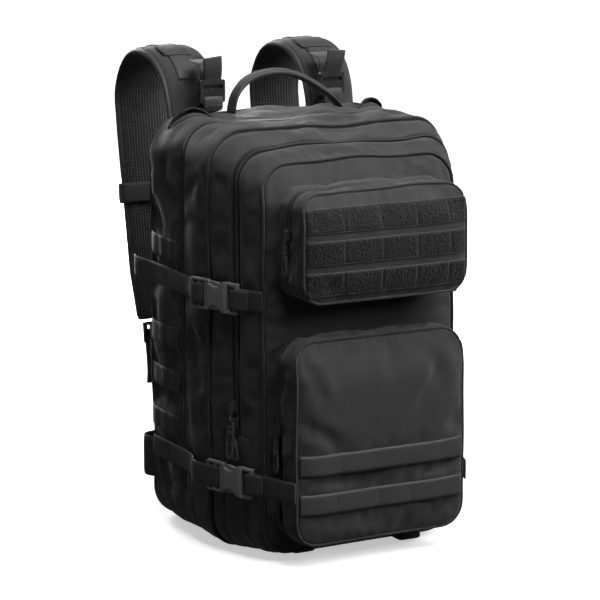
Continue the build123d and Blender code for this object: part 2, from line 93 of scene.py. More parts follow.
class Shader:
    """A principled material and short ways to add nodes to it."""

    def __init__(self, name, colour, roughness, **values):
        self.material = bpy.data.materials.new(name)
        self.material.use_nodes = True
        self.tree = self.material.node_tree
        self.main = self.tree.nodes["Principled BSDF"]
        self.main.inputs["Base Color"].default_value = (*colour, 1)
        self.main.inputs["Roughness"].default_value = roughness
        for socket, value in values.items():
            self.main.inputs[socket.replace("_", " ")].default_value = value

    def add(self, kind, inputs=None, **properties):
        node = self.tree.nodes.new(kind)
        for key, value in properties.items():
            setattr(node, key, value)
        for key, value in (inputs or {}).items():
            if isinstance(value, bpy.types.NodeSocket):
                self.tree.links.new(value, node.inputs[key])
            else:
                node.inputs[key].default_value = value
        return node

    def coordinates(self, kind):
        return self.add("ShaderNodeTexCoord").outputs[kind]

    def waves(self, vector, axis, period):
        """Even ridges along one axis, one every period metres."""
        return self.add("ShaderNodeTexWave", {"Vector": vector, "Scale": 0.31416 / period},
                        wave_type="BANDS", bands_direction=axis).outputs["Fac"]

    def noise(self, vector, scale, detail=2.0):
        return self.add("ShaderNodeTexNoise",
                        {"Vector": vector, "Scale": scale, "Detail": detail}).outputs["Fac"]

    def math(self, operation, first, second):
        node = self.add("ShaderNodeMath", operation=operation)
        for socket, value in zip(node.inputs, (first, second)):
            if isinstance(value, bpy.types.NodeSocket):
                self.tree.links.new(value, socket)
            else:
                socket.default_value = value
        return node.outputs[0]

    def shade(self, factor, low, high):
        """Colour the surface from low to high as factor goes from 0.3 to 0.7."""
        ramp = self.add("ShaderNodeValToRGB", {"Fac": factor})
        ramp.color_ramp.elements[0].position = 0.3
        ramp.color_ramp.elements[1].position = 0.7
        ramp.color_ramp.elements[0].color = (*low, 1)
        ramp.color_ramp.elements[1].color = (*high, 1)
        self.tree.links.new(ramp.outputs["Color"], self.main.inputs["Base Color"])

    def vary_roughness(self, factor, low, high):
        span = self.add("ShaderNodeMapRange", {"Value": factor, "To Min": low, "To Max": high})
        self.tree.links.new(span.outputs["Result"], self.main.inputs["Roughness"])

    def bump(self, *layers):
        """Each layer is (height, distance in metres, strength)."""
        normal = None
        for height, distance, strength in layers:
            inputs = {"Height": height, "Distance": distance, "Strength": strength}
            if normal is not None:
                inputs["Normal"] = normal
            normal = self.add("ShaderNodeBump", inputs).outputs["Normal"]
        self.tree.links.new(normal, self.main.inputs["Normal"])


def woven(name, low, high, period, roughness, relief=0.0003, **values):
    """A plain weave drawn in the UVs, which are in metres: threads over and under. Its colour is random
    slub and mottle tone plus painted shade: the raised threads lighter, the dips between them darker.
    """
    shader = Shader(name, low, roughness, **values)
    uv = shader.coordinates("UV")
    across, along = shader.waves(uv, "X", period), shader.waves(uv, "Y", period)
    weave = shader.math("MULTIPLY", across, along)
    slubs = shader.noise(uv, 0.6 / period, 3.0)
    mottle = shader.noise(uv, 45.0, 3.0)
    # Colour: slubs and mottle are random tone; the weave term is painted shade, lighter on the raised
    # threads and darker in the dips between them.
    tone_and_shade = shader.math("ADD", shader.math("MULTIPLY", weave, 0.35), shader.math("MULTIPLY", slubs, 0.5))
    tone_and_shade = shader.math("ADD", tone_and_shade, shader.math("MULTIPLY", mottle, 0.2))
    shader.shade(tone_and_shade, low, high)
    shader.vary_roughness(mottle, roughness - 0.06, roughness + 0.08)
    shader.bump((mottle, 0.0012, 0.35), (slubs, relief, 0.5), (weave, relief, 0.8))
    return shader.material


def ribbed(name, low, high, roughness, **values):
    """Webbing: narrow ribs along its length crossed by a fine weft. Its colour is random grain tone plus
    painted shade: the ribs lighter than the grooves between them.
    """
    shader = Shader(name, low, roughness, **values)
    uv = shader.coordinates("UV")
    ribs, weft = shader.waves(uv, "X", 0.0014), shader.waves(uv, "Y", 0.0009)
    grain = shader.noise(uv, 700.0)
    # Colour: the grain is random tone; the rib term is painted shade, lighter on the ribs and darker in the
    # grooves.
    tone_and_shade = shader.math("ADD", shader.math("MULTIPLY", ribs, 0.3), shader.math("MULTIPLY", grain, 0.7))
    shader.shade(tone_and_shade, low, high)
    shader.bump((grain, 0.0003, 0.4), (weft, 0.0001, 0.5), (ribs, 0.00016, 0.7))
    return shader.material


def grey(value, warm=1.03):
    return (value, value, value * warm)


FABRIC = woven("Pack_fabric", grey(0.004), grey(0.029), 0.0011, 0.72,
               **{"Specular_IOR_Level": 0.3, "Sheen_Weight": 0.16, "Sheen_Roughness": 0.45})
LINING = woven("Lining_fabric", grey(0.014), grey(0.026), 0.0008, 0.6, relief=0.0002,
               **{"Specular_IOR_Level": 0.3})
TAPE = woven("Zip_tape", grey(0.007), grey(0.012), 0.0009, 0.75, relief=0.0002,
             **{"Specular_IOR_Level": 0.2})
WEB = ribbed("Webbing", grey(0.009), grey(0.024), 0.62,
             **{"Specular_IOR_Level": 0.4, "Sheen_Weight": 0.12, "Sheen_Roughness": 0.4})


def pile_material():
    """Loop pile: a nap of tiny curls. Its light and dark grains follow the tufts' height: random tone, and
    painted shade in the hollows between the tufts.
    """
    shader = Shader("Loop_pile", grey(0.01), 0.9, **{"Specular_IOR_Level": 0.15,
                    "Sheen_Weight": 0.12, "Sheen_Roughness": 0.5})
    uv = shader.coordinates("UV")
    curls = shader.add("ShaderNodeTexVoronoi", {"Vector": uv, "Scale": 620.0}).outputs["Distance"]
    tufts_and_shade = shader.noise(uv, 330.0, 4.0)
    # Colour from the tufts' height: higher tufts lighter, the hollows between them darker, as painted shade
    # on a random tone.
    shader.shade(tufts_and_shade, grey(0.0015), grey(0.016))
    shader.bump((tufts_and_shade, 0.0012, 0.8), (curls, 0.0006, 0.7))
    return shader.material


def mesh_material(name, low, high, size):
    """Knitted spacer mesh: rows of small holes between rounded bridges. The holes are painted dark and the
    bridges light, as painted shade in the holes.
    """
    shader = Shader(name, low, 0.8, **{"Specular_IOR_Level": 0.3, "Sheen_Weight": 0.15})
    uv = shader.coordinates("UV")
    holes = shader.add("ShaderNodeTexVoronoi", {"Vector": uv, "Scale": 1 / size, "Randomness": 0.12})
    ramp = shader.add("ShaderNodeMapRange", {"Value": holes.outputs["Distance"], "From Min": 0.22,
                                            "From Max": 0.42})
    knit = shader.noise(uv, 1500.0)
    depth = ramp.outputs["Result"]
    # Painted shade: the holes are coloured dark and the bridges light, following the same depth as the
    # bump.
    shader.shade(depth, low, high)
    shader.bump((depth, 0.0014, 1.0), (knit, 0.0003, 0.5))
    return shader.material


def moulded(name, colour, roughness, grain=2600.0, **values):
    """Moulded plastic or coated metal: a fine texture and slight unevenness."""
    shader = Shader(name, colour, roughness, **values)
    place = shader.coordinates("Object")
    fine, broad = shader.noise(place, grain, 2.0), shader.noise(place, 90.0, 3.0)
    shader.vary_roughness(broad, roughness - 0.06, roughness + 0.1)
    shader.bump((broad, 0.0006, 0.15), (fine, 0.00006, 0.5))
    return shader.material


PILE = pile_material()
SPACER = mesh_material("Spacer_mesh", grey(0.003), grey(0.022), 0.0038)
NET = mesh_material("Pocket_net", grey(0.006), grey(0.04), 0.0022)
# Buckle base colour: a lighter grey than the grey-black plastic, painting in its satin reflections (painted
# reflection).
BUCKLE = moulded("Buckle_plastic", grey(0.12), 0.38, **{"Specular_IOR_Level": 0.5})
LOCK = moulded("Lock_plastic", grey(0.012), 0.24, **{"Specular_IOR_Level": 0.55})
METAL = moulded("Slider_metal", grey(0.10), 0.28, **{"Metallic": 0.7})
SHEET = moulded("Frame_sheet", grey(0.05), 0.45)
COIL = moulded("Zip_coil", grey(0.02), 0.4, **{"Specular_IOR_Level": 0.5})
THREAD = moulded("Thread", grey(0.032), 0.6, **{"Sheen_Weight": 0.3})


def cord_material():
    """Braided cord: fine diagonal strands."""
    shader = Shader("Pull_cord", grey(0.012), 0.6, **{"Sheen_Weight": 0.2})
    place = shader.coordinates("Object")
    braid = shader.add("ShaderNodeTexWave", {"Vector": place, "Scale": 260.0, "Distortion": 1.5},
                       wave_type="BANDS", bands_direction="DIAGONAL").outputs["Fac"]
    grain = shader.noise(place, 2200.0)
    shader.shade(grain, grey(0.014), grey(0.045))
    shader.bump((braid, 0.0005, 0.9), (grain, 0.0002, 0.5))
    return shader.material


CORD = cord_material()

# ---- mesh building --------------------------------------------------------------------


class Parts:
    """Collects grids and tubes, in millimetres, that become one mesh."""

    def __init__(self):
        self.verts, self.faces, self.uvs, self.slots, self.count = [], [], [], [], 0

    def add(self, verts, faces, uvs, slot=0):
        self.verts.append(np.asarray(verts, float).reshape(-1, 3))
        self.faces += [[i + self.count for i in face] for face in faces]
        self.uvs.append(np.asarray(uvs, float).reshape(-1, 2))
        self.slots += [slot] * len(faces)
        self.count += len(self.verts[-1])

    def grid(self, points, uv, slot=0, closed=False, keep=None):
        """points is rows x columns x 3; uv has one more column when closed."""
        rows, cols = points.shape[:2]
        index = np.arange(rows * cols).reshape(rows, cols)
        if closed:
            index = np.hstack([index, index[:, :1]])
        corners = [index[:-1, :-1], index[:-1, 1:], index[1:, 1:], index[1:, :-1]]
        faces = np.stack(corners, -1)
        where = np.stack([uv[:-1, :-1], uv[:-1, 1:], uv[1:, 1:], uv[1:, :-1]], 2)
        if keep is not None:
            faces, where = faces[keep], where[keep]
        start = self.count
        self.add(points, faces.reshape(-1, 4).tolist(), where, slot)
        return index[:, :cols] + start

    def make(self, name, *materials, smooth=True):
        verts = np.concatenate(self.verts)
        verts[:, 2] = np.maximum(verts[:, 2], 0.3)
        used = np.zeros(len(verts), bool)
        for face in self.faces:
            used[face] = True
        renumber = np.cumsum(used) - 1
        faces = [[int(renumber[i]) for i in face] for face in self.faces]
        mesh = bpy.data.meshes.new(name)
        mesh.from_pydata((verts[used] * MM).tolist(), [], faces)
        layer = mesh.uv_layers.new(name="UVMap")
        layer.data.foreach_set("uv", (np.concatenate(self.uvs) * MM).astype(np.float32).ravel())
        mesh.polygons.foreach_set("use_smooth", [smooth] * len(faces))
        for material in materials:
            mesh.materials.append(material)
        mesh.polygons.foreach_set("material_index", self.slots)
        mesh.update()
        obj = bpy.data.objects.new(name, mesh)
        scene.collection.objects.link(obj)
        return obj, np.where(used, renumber, -1)


def unit(vectors):
    return vectors / np.maximum(np.linalg.norm(vectors, axis=-1, keepdims=True), 1e-9)


def tangents(path, closed=False):
    if closed:
        return unit(np.roll(path, -1, 0) - np.roll(path, 1, 0))
    return unit(np.gradient(path, axis=0))


def distances(path):
    """How far along the path each of its points is."""
    return np.concatenate([[0], np.cumsum(np.linalg.norm(np.diff(path, axis=0), axis=1))])


def resample(path, step, closed=False):
    """Points about step apart along a polyline."""
    path = np.asarray(path, float)
    if closed:
        path = np.vstack([path, path[:1]])
    lengths = distances(path)
    count = max(2, int(round(lengths[-1] / step)) + 1)
    at = np.linspace(0, lengths[-1], count)
    out = np.stack([np.interp(at, lengths, path[:, k]) for k in range(path.shape[1])], 1)
    return out[:-1] if closed else out


def rounded(points, times=3, step=3.0):
    """A webbing's path with its corners cut round, then evenly spaced."""
    path = np.asarray(points, float)
    for _ in range(times):
        quarter = path[:-1] * 0.75 + path[1:] * 0.25
        three = path[:-1] * 0.25 + path[1:] * 0.75
        inner = np.stack([quarter, three], 1).reshape(-1, path.shape[1])
        path = np.vstack([path[:1], inner[1:-1], path[-1:]])
    return resample(path, step)


def sweep(parts, path, across, section, slot=0, closed=False, scale=None):
    """Carry a closed section of (across, out) points along a path; out is tangent x across."""
    path = np.asarray(path, float)
    along = tangents(path, closed)
    across = np.broadcast_to(np.asarray(across, float), path.shape)
    across = unit(across - (across * along).sum(1, keepdims=True) * along)
    out = np.cross(along, across)
    section = np.asarray(section, float)
    sizes = np.ones((len(path), 2)) if scale is None else np.asarray(scale, float)
    points = (path[:, None] + across[:, None] * (section[None, :, :1] * sizes[:, None, :1])
              + out[:, None] * (section[None, :, 1:] * sizes[:, None, 1:]))
    edge = np.vstack([section, section[:1]])
    around = distances(edge)
    gone = distances(path)
    if closed:
        points = np.concatenate([points, points[:1]])
        gone = np.append(gone, gone[-1] + np.linalg.norm(path[0] - path[-1]))
    uv = np.stack(np.meshgrid(around, gone), -1)
    index = parts.grid(points, uv, slot, closed=True)
    if not closed:
        for end, order in ((index[0], -1), (index[-1], 1)):
            parts.faces.append([int(i) for i in end[::order]])
            parts.uvs.append(section[::order])
            parts.slots.append(slot)


def flat_section(width, thickness, count=9, crown=0.0):
    """A webbing's section: flat faces with rounded selvedges."""
    a = np.linspace(-1, 1, count)
    half = thickness / 2 * np.sqrt(np.clip(1 - np.abs(a) ** 10, 0.12, 1))
    bow = crown * (1 - a ** 2)
    lower = np.stack([a * width / 2, -half + bow], 1)
    upper = np.stack([a[::-1] * width / 2, (half + bow)[::-1]], 1)
    return np.vstack([lower, upper])


def round_section(radius, count=8, flat=1.0):
    turn = np.linspace(0, 2 * math.pi, count, endpoint=False)
    return np.stack([np.cos(turn) * radius, np.sin(turn) * radius * flat], 1)


def tube(parts, path, radius, slot=0, closed=False, count=8, across=None, flat=1.0):
    if across is None:
        along = tangents(np.asarray(path, float), closed)
        across = np.cross(along, np.where(np.abs(along[:, 2:3]) > 0.9, (0.0, 1.0, 0.0), (0.0, 0.0, 1.0)))
    return sweep(parts, path, across, round_section(radius, count, flat), slot, closed)


def instances(parts, shape, faces, places, frames, slot=0):
    """Copies of a small shape, each placed by a 3 x 3 frame."""
    points = np.einsum("kj,njc->nkc", shape, frames) + places[:, None]
    size = len(shape)
    for n in range(len(places)):
        parts.faces += [[i + parts.count + n * size for i in face] for face in faces]
        parts.slots += [slot] * len(faces)
    parts.verts.append(points.reshape(-1, 3))
    loops = np.array([i for face in faces for i in face])
    parts.uvs.append(np.tile(shape[loops][:, :2], (len(places), 1)))
    parts.count += len(places) * size


def capsule(length, radius, ring=5):
    """A short thread or coil wire along its own first axis, with pinched ends."""
    stations = ((-0.5, 0.35), (-0.3, 1.0), (0.3, 1.0), (0.5, 0.35))
    turn = np.linspace(0, 2 * math.pi, ring, endpoint=False)
    shape = np.array([(x * length, math.cos(t) * radius * s, math.sin(t) * radius * s)
                      for x, s in stations for t in turn])
    faces = [[r * ring + i, r * ring + (i + 1) % ring, (r + 1) * ring + (i + 1) % ring, (r + 1) * ring + i]
             for r in range(3) for i in range(ring)]
    faces += [list(range(ring))[::-1], [3 * ring + i for i in range(ring)]]
    return shape, faces


def stitches(parts, path, out, pitch=3.4, length=2.5, radius=0.32, slot=0):
    """A row of thread stitches along a path; out is the surface's normal there."""
    path = np.asarray(path, float)
    lengths = distances(path)
    at = np.arange(pitch / 2, lengths[-1], pitch)
    if len(at) == 0:
        return
    normals = np.broadcast_to(np.asarray(out, float), path.shape)
    both = np.hstack([path, normals, tangents(path)])
    rows = np.stack([np.interp(at, lengths, both[:, k]) for k in range(9)], 1)
    places, normal, along = rows[:, :3], unit(rows[:, 3:6]), unit(rows[:, 6:])
    side = np.cross(normal, along)
    shape, faces = capsule(length, radius)
    instances(parts, shape, faces, places + normal * 0.12, np.stack([along, side, normal], 1), slot)


# ---- bag shells -----------------------------------------------------------------------


def between(rear, front, y):
    t = (y - rear[0]) / (front[0] - rear[0])
    return tuple(a + t * (b - a) for a, b in zip(rear[1:], front[1:]))


def ring(shape, nx, nz, grow=0.0):
    """Points (x, z) round a rounded rectangle from its lower left corner's middle, and
    the distance gone at each."""
    width, low, high, radius = shape
    half = (width / 2 + grow, (high - low) / 2 + grow)
    r = radius + grow
    arc = math.pi * r / 4
    points, gone, base = [], [], 0.0
    for turn in range(4):
        a, b = half if turn % 2 == 0 else half[::-1]
        straight = 2 * (a - r)
        total = straight + 2 * arc
        s = np.linspace(0, total, nx if turn % 2 == 0 else nz, endpoint=False)
        first = 1.25 * math.pi + s / r
        last = 1.5 * math.pi + (s - arc - straight) / r
        u = np.where(s < arc, r - a + r * np.cos(first),
                     np.where(s > arc + straight, a - r + r * np.cos(last), s - arc + r - a))
        v = np.where(s < arc, r - b + r * np.sin(first),
                     np.where(s > arc + straight, r - b + r * np.sin(last), -b))
        for _ in range(turn):
            u, v = -v, u
        points.append(np.stack([u, v + (low + high) / 2], 1))
        gone.append(base + s)
        base += total
    return np.concatenate(points), np.append(np.concatenate(gone), base)


def soften(points):
    """Slow waves that no filled bag is without, strongest along its top edges."""
    p = np.array(points, float)
    x, y, z = p[..., 0].copy(), p[..., 1].copy(), p[..., 2].copy()
    top = np.clip((z - 395) / 70, 0, 1)
    p[..., 2] -= top * (1.5 + 1.5 * np.sin(x / 31 + y / 37 + 0.9) + 0.8 * np.sin(x / 14 - y / 19))
    p[..., 1] += 1.1 * np.sin(x / 43 + z / 57 + 0.4) * np.sin(z / 71 + 1.0)
    upper = np.clip((-113 - y) / 35, 0, 1) * np.clip((z - 404) / 40, 0, 1.1) ** 1.5
    lower = np.clip((-99 - y) / 38, 0, 1) * np.clip((z - 222) / 46, 0, 1) ** 1.5 * (z < 275)
    second = np.clip((-50 - y) / 34, 0, 1) * np.clip((z - 420) / 48, 0, 1.1) ** 1.5 * (y > -90)
    p[..., 1] += 12 * upper + 10 * lower + 9 * second
    side = np.clip((np.abs(x) - 70) / 40, 0, 1)
    squeeze = np.exp(-((z - 311) / 26) ** 2) + np.exp(-((z - 96) / 26) ** 2)
    p[..., 0] -= np.sign(x) * side * (0.9 + 0.8 * np.sin(z / 37 + y / 29) + 1.0 * squeeze)
    p[..., 2] = np.maximum(p[..., 2], 0.4)
    return p


def swell(y, rear, front, at_rear, at_front, middle):
    """How far a gusset stands outside its outline, between two seams that pull it in."""
    t = np.clip((y - rear) / (front - rear), 0, 1)
    ends = at_rear * (1 - t) + at_front * t
    return ends + (middle - ends) * (4 * t * (1 - t)) ** 0.6


def outline(space, y, grow=0.0):
    """The ring of a compartment at depth y. A space is its rear and front outlines and the
    number of points across and up."""
    rear, front, counts = space
    return ring(between(rear, front, y), *counts, grow)


def loft(space, ys, offsets):
    """Rows of ring points at each depth, and their UVs."""
    rows, uvs = [], []
    for y, grow in zip(ys, offsets):
        xz, gone = outline(space, y, grow)
        rows.append(np.stack([xz[:, 0], np.full(len(xz), y), xz[:, 1]], 1))
        uvs.append(np.stack([gone, np.full(len(gone), -y)], 1))
    return soften(np.array(rows)), np.array(uvs)


def panel_points(shape, y, nx, nz, grow, crown, direction=-1, reach=16.0):
    """A panel that fills a ring: four-sided patch, crowned in from its seam."""
    xz, _ = ring(shape, nx, nz, grow)
    bottom, right = xz[:nx + 1], xz[nx:nx + nz + 1]
    top = xz[nx + nz:2 * nx + nz + 1][::-1]
    left = np.vstack([xz[2 * nx + nz:], xz[:1]])[::-1]
    u = np.linspace(0, 1, nx + 1)[None, :, None]
    v = np.linspace(0, 1, nz + 1)[:, None, None]
    flat = ((1 - v) * bottom[None] + v * top[None] + (1 - u) * left[:, None] + u * right[:, None]
            - (1 - u) * (1 - v) * bottom[0] - u * (1 - v) * bottom[-1]
            - (1 - u) * v * top[0] - u * v * top[-1])
    width, low, high, radius = shape
    corner = np.array((width, high - low)) / 2 + grow - radius
    q = np.abs(flat - (0, (low + high) / 2)) - corner
    inside = radius - np.linalg.norm(np.maximum(q, 0), axis=-1) - np.minimum(q.max(-1), 0)
    inside = np.clip(inside, 0, None)
    depth = y + direction * crown * (1 - np.exp(-inside / reach))
    points = np.stack([flat[..., 0], depth, flat[..., 1]], -1)
    return soften(points), flat


SIMULATED = []


def shell_piece(name, materials, pin, cap, parts, shape):
    """Make a shell mesh and remember it for the cloth run."""
    obj, index = parts.make(name, *materials)
    index = index.reshape(shape)
    held = [int(i) for i in index[pin] if i >= 0]
    obj.vertex_groups.new(name="pin").add(held, 1.0, "REPLACE")
    SIMULATED.append((obj, cap))
    return obj


def gusset(name, space, ys, offsets, limited=None, cap=4.0):
    """One band of a shell. limited is (columns, y, y): between those depths only those
    columns have cloth, because a zip or a bellows is there."""
    points, uv = loft(space, ys, offsets)
    keep = np.ones((len(ys) - 1, points.shape[1]), bool)
    if limited is not None:
        columns, far, near = limited
        middle = (ys[:-1] + ys[1:]) / 2
        keep[(middle < far) & (middle > near)] = columns
    parts = Parts()
    parts.grid(points, uv, 0, closed=True, keep=keep)
    padded = np.vstack([np.zeros((1, keep.shape[1]), int), keep, np.zeros((1, keep.shape[1]), int)])
    around = padded[:-1] + padded[1:]
    around = around + np.roll(around, 1, 1)
    return shell_piece(name, (FABRIC, LINING), around < 4, cap, parts, points.shape[:2])


def panel(name, shape, y, counts, grow, crown, direction=-1, cap=6.0, reach=16.0, pinned=None):
    """The face of a compartment, pinned round its seam and where pinned says."""
    points, flat = panel_points(shape[1:], y, *counts, grow, crown, direction, reach)
    if direction > 0:
        points, flat = points[:, ::-1], flat[:, ::-1]
    parts = Parts()
    parts.grid(points, flat, 0)
    pin = np.zeros(points.shape[:2], bool)
    pin[[0, -1]] = True
    pin[:, [0, -1]] = True
    if pinned is not None:
        pin |= pinned(points)
    return shell_piece(name, (FABRIC, LINING), pin, cap, parts, points.shape[:2])


def above(space, zip_line):
    """Which of a ring's columns lie along the zip."""
    xz, _ = outline(space, zip_line[0])
    middle = (xz[:, 1] + np.roll(xz[:, 1], -1)) / 2
    return middle > zip_line[1]


def steps(*values, step=6.0):
    """Depths from the first value to the last, through all of them, about step apart."""
    out = [values[0]]
    for a, b in zip(values, values[1:]):
        count = max(1, int(round(abs(b - a) / step)))
        out += list(np.linspace(a, b, count + 1)[1:])
    return np.array(out)


BAG_COUNTS, UPPER_COUNTS, LOWER_COUNTS = (48, 76), (36, 22), (38, 40)
MAIN = (MAIN_REAR, MAIN_FRONT, BAG_COUNTS)
SECOND = (MAIN_FRONT, SECOND_FRONT, BAG_COUNTS)
UPPER = (UPPER_REAR, UPPER_FRONT, UPPER_COUNTS)
LOWER = (LOWER_REAR, LOWER_FRONT, LOWER_COUNTS)
MAIN_COLUMNS, SECOND_COLUMNS = above(MAIN, MAIN_ZIP), above(SECOND, SECOND_ZIP)
UPPER_COLUMNS, LOWER_COLUMNS = above(UPPER, UPPER_ZIP), above(LOWER, LOWER_ZIP)


def bands(names, space, zip_y, rear, bellows, front, columns, behind, before):
    """The three bands of a zipped compartment: behind its zip, a bellows below the zip's ends,
    and in front. behind and before say how far the two halves
    swell, as a seam's depth and then swell's last three values."""
    rows = ((*rear, zip_y + SLOT), (bellows[0], zip_y, bellows[1]), (zip_y - SLOT, bellows[1], front))
    made = []
    for name, row, open_columns in zip(names, rows, (columns, ~columns, columns)):
        ys = steps(*row)
        offsets = np.where(ys > zip_y, swell(ys, behind[0], zip_y + SLOT, *behind[1:]),
                           swell(ys, zip_y - SLOT, *before))
        made.append(gusset(name, space, ys, offsets, (open_columns, *bellows)))
    return made


rear_shell, main_bellows, main_shell = bands(
    ("rear_gusset", "main_bellows", "main_front_gusset"), MAIN, MAIN_ZIP[0], (BACK, 94.0),
    (94.0, 34.0), -4.0, MAIN_COLUMNS, (BACK, -2.8, -1.2, 0.4), (-4.0, -1.2, -2.4, 0.6))
main_panel = panel("main_front_divider", MAIN_FRONT, -3.4, BAG_COUNTS, -2.4, 0.6, cap=0.0)
second_rear, second_bellows, second_shell = bands(
    ("second_rear_gusset_cloth", "second_bellows", "second_front_gusset"), SECOND, SECOND_ZIP[0],
    (-3.0, -28.0), (-28.0, -64.0), -84.0, SECOND_COLUMNS, (-4.0, -6.0, -1.2, -0.2),
    (-84.0, -1.2, -2.0, 0.8))
second_panel = panel("second_front_panel", SECOND_FRONT, -84.0, BAG_COUNTS, -2.0, 5.0)
upper_base, upper_bellows, upper_shell = bands(
    ("upper_pocket_base_cloth", "upper_bellows", "upper_pocket_gusset"), UPPER, UPPER_ZIP[0],
    (-82.0,), (-95.0, -129.0), -147.0, UPPER_COLUMNS, (-84.0, -1.0, -1.0, 0.6),
    (-147.0, -1.0, -1.8, 1.0))
upper_panel = panel("upper_pocket_panel", UPPER_FRONT, -147.0, UPPER_COUNTS, -1.8, 5.5, cap=3.0)
lower_slot = (LOWER_ZIP[0] + SLOT, LOWER_ZIP[0] - SLOT)
ys = steps(-82.0, lower_slot[0])
lower_base = gusset("lower_pocket_rear_band", LOWER, ys, np.full(len(ys), -1.0))
ys = steps(*lower_slot, -137.0)
lower_shell = gusset("lower_pocket_gusset", LOWER, ys, swell(ys, lower_slot[1], -137.0, -0.8, -1.8, 1.4),
                     (LOWER_COLUMNS, *lower_slot))


def at_rows(points):
    """The lower pocket's front is held flat where its two webbing rows are sewn."""
    z = points[..., 2]
    return (np.abs(z - 126) < 3) | (np.abs(z - 80) < 3)


lower_panel = panel("lower_pocket_panel", LOWER_FRONT, -137.0, LOWER_COUNTS, -1.8, 5.5, cap=5.0,
                    pinned=at_rows)
back_cloth = panel("back_panel_cloth", MAIN_REAR, BACK - 3.0, BAG_COUNTS, -2.8, 3.0, direction=1,
                   cap=0.0)


# ---- cloth ----------------------------------------------------------------------------


CLOTH = {"quality": 4, "mass": 0.12, "tension_stiffness": 14, "compression_stiffness": 14,
         "shear_stiffness": 6, "bending_stiffness": 0.6, "vertex_group_mass": "pin",
         "use_pressure": True, "uniform_pressure_force": 1.6, "shrink_min": -0.03, "shrink_max": -0.03}


def inflate(pieces, frames=26):
    """Fill the bag: each piece of cloth is cut slightly too big for its frame of seams, and
    pressed out from inside, then its movement is capped."""
    for obj, cap in pieces:
        cloth = obj.modifiers.new("cloth", "CLOTH")
        for setting, value in CLOTH.items():
            setattr(cloth.settings, setting, value)
        cloth.settings.effector_weights.gravity = 0
        cloth.collision_settings.use_collision = False
        cloth.point_cache.frame_start = 1
        cloth.point_cache.frame_end = frames
    for step in range(1, frames + 1):
        scene.frame_set(step)
    depsgraph = bpy.context.evaluated_depsgraph_get()
    for obj, cap in pieces:
        rest = np.array([v.co for v in obj.data.vertices])
        moved = np.array([v.co for v in obj.evaluated_get(depsgraph).data.vertices]) - rest
        far = np.linalg.norm(moved, axis=1, keepdims=True)
        limit = cap * MM
        moved = rest + moved * limit * np.tanh(far / limit) / np.maximum(far, 1e-9)
        moved[:, 2] = np.maximum(moved[:, 2], 0.0006)
        obj.modifiers.remove(obj.modifiers["cloth"])
        obj.data.vertices.foreach_set("co", moved.astype(np.float32).ravel())
        obj.data.update()
    scene.frame_set(1)


def dent(obj, start, end, depth, width):
    """A crease along a line: pushed in along the middle, swelling a little beside it."""
    start, end = np.array(start, float), np.array(end, float)
    co = np.array([v.co for v in obj.data.vertices]) / MM
    normals = np.array([v.normal for v in obj.data.vertices])
    line = end - start
    t = np.clip(((co - start) @ line) / (line @ line), 0, 1)
    away = np.linalg.norm(co - start - t[:, None] * line, axis=1) / width
    taper = np.sin(math.pi * np.clip(0.08 + 0.84 * t, 0, 1))
    shape = np.exp(-away ** 2) - 0.45 * np.exp(-((away - 1.7) / 0.8) ** 2)
    co -= normals * (depth * taper * shape)[:, None]
    co[:, 2] = np.maximum(co[:, 2], 0.4)
    obj.data.vertices.foreach_set("co", (co * MM).astype(np.float32).ravel())
    obj.data.update()


def thicken(obj, thickness=1.6, levels=1):
    """Smooth the cloth and give it its lining side."""
    smooth = obj.modifiers.new("smooth", "SUBSURF")
    smooth.levels = smooth.render_levels = levels
    solid = obj.modifiers.new("thickness", "SOLIDIFY")
    solid.thickness = thickness * MM
    solid.offset = -1
    solid.material_offset = 1
    solid.material_offset_rim = 0
    solid.use_even_offset = False


inflate([(obj, cap) for obj, cap in SIMULATED if cap > 0])

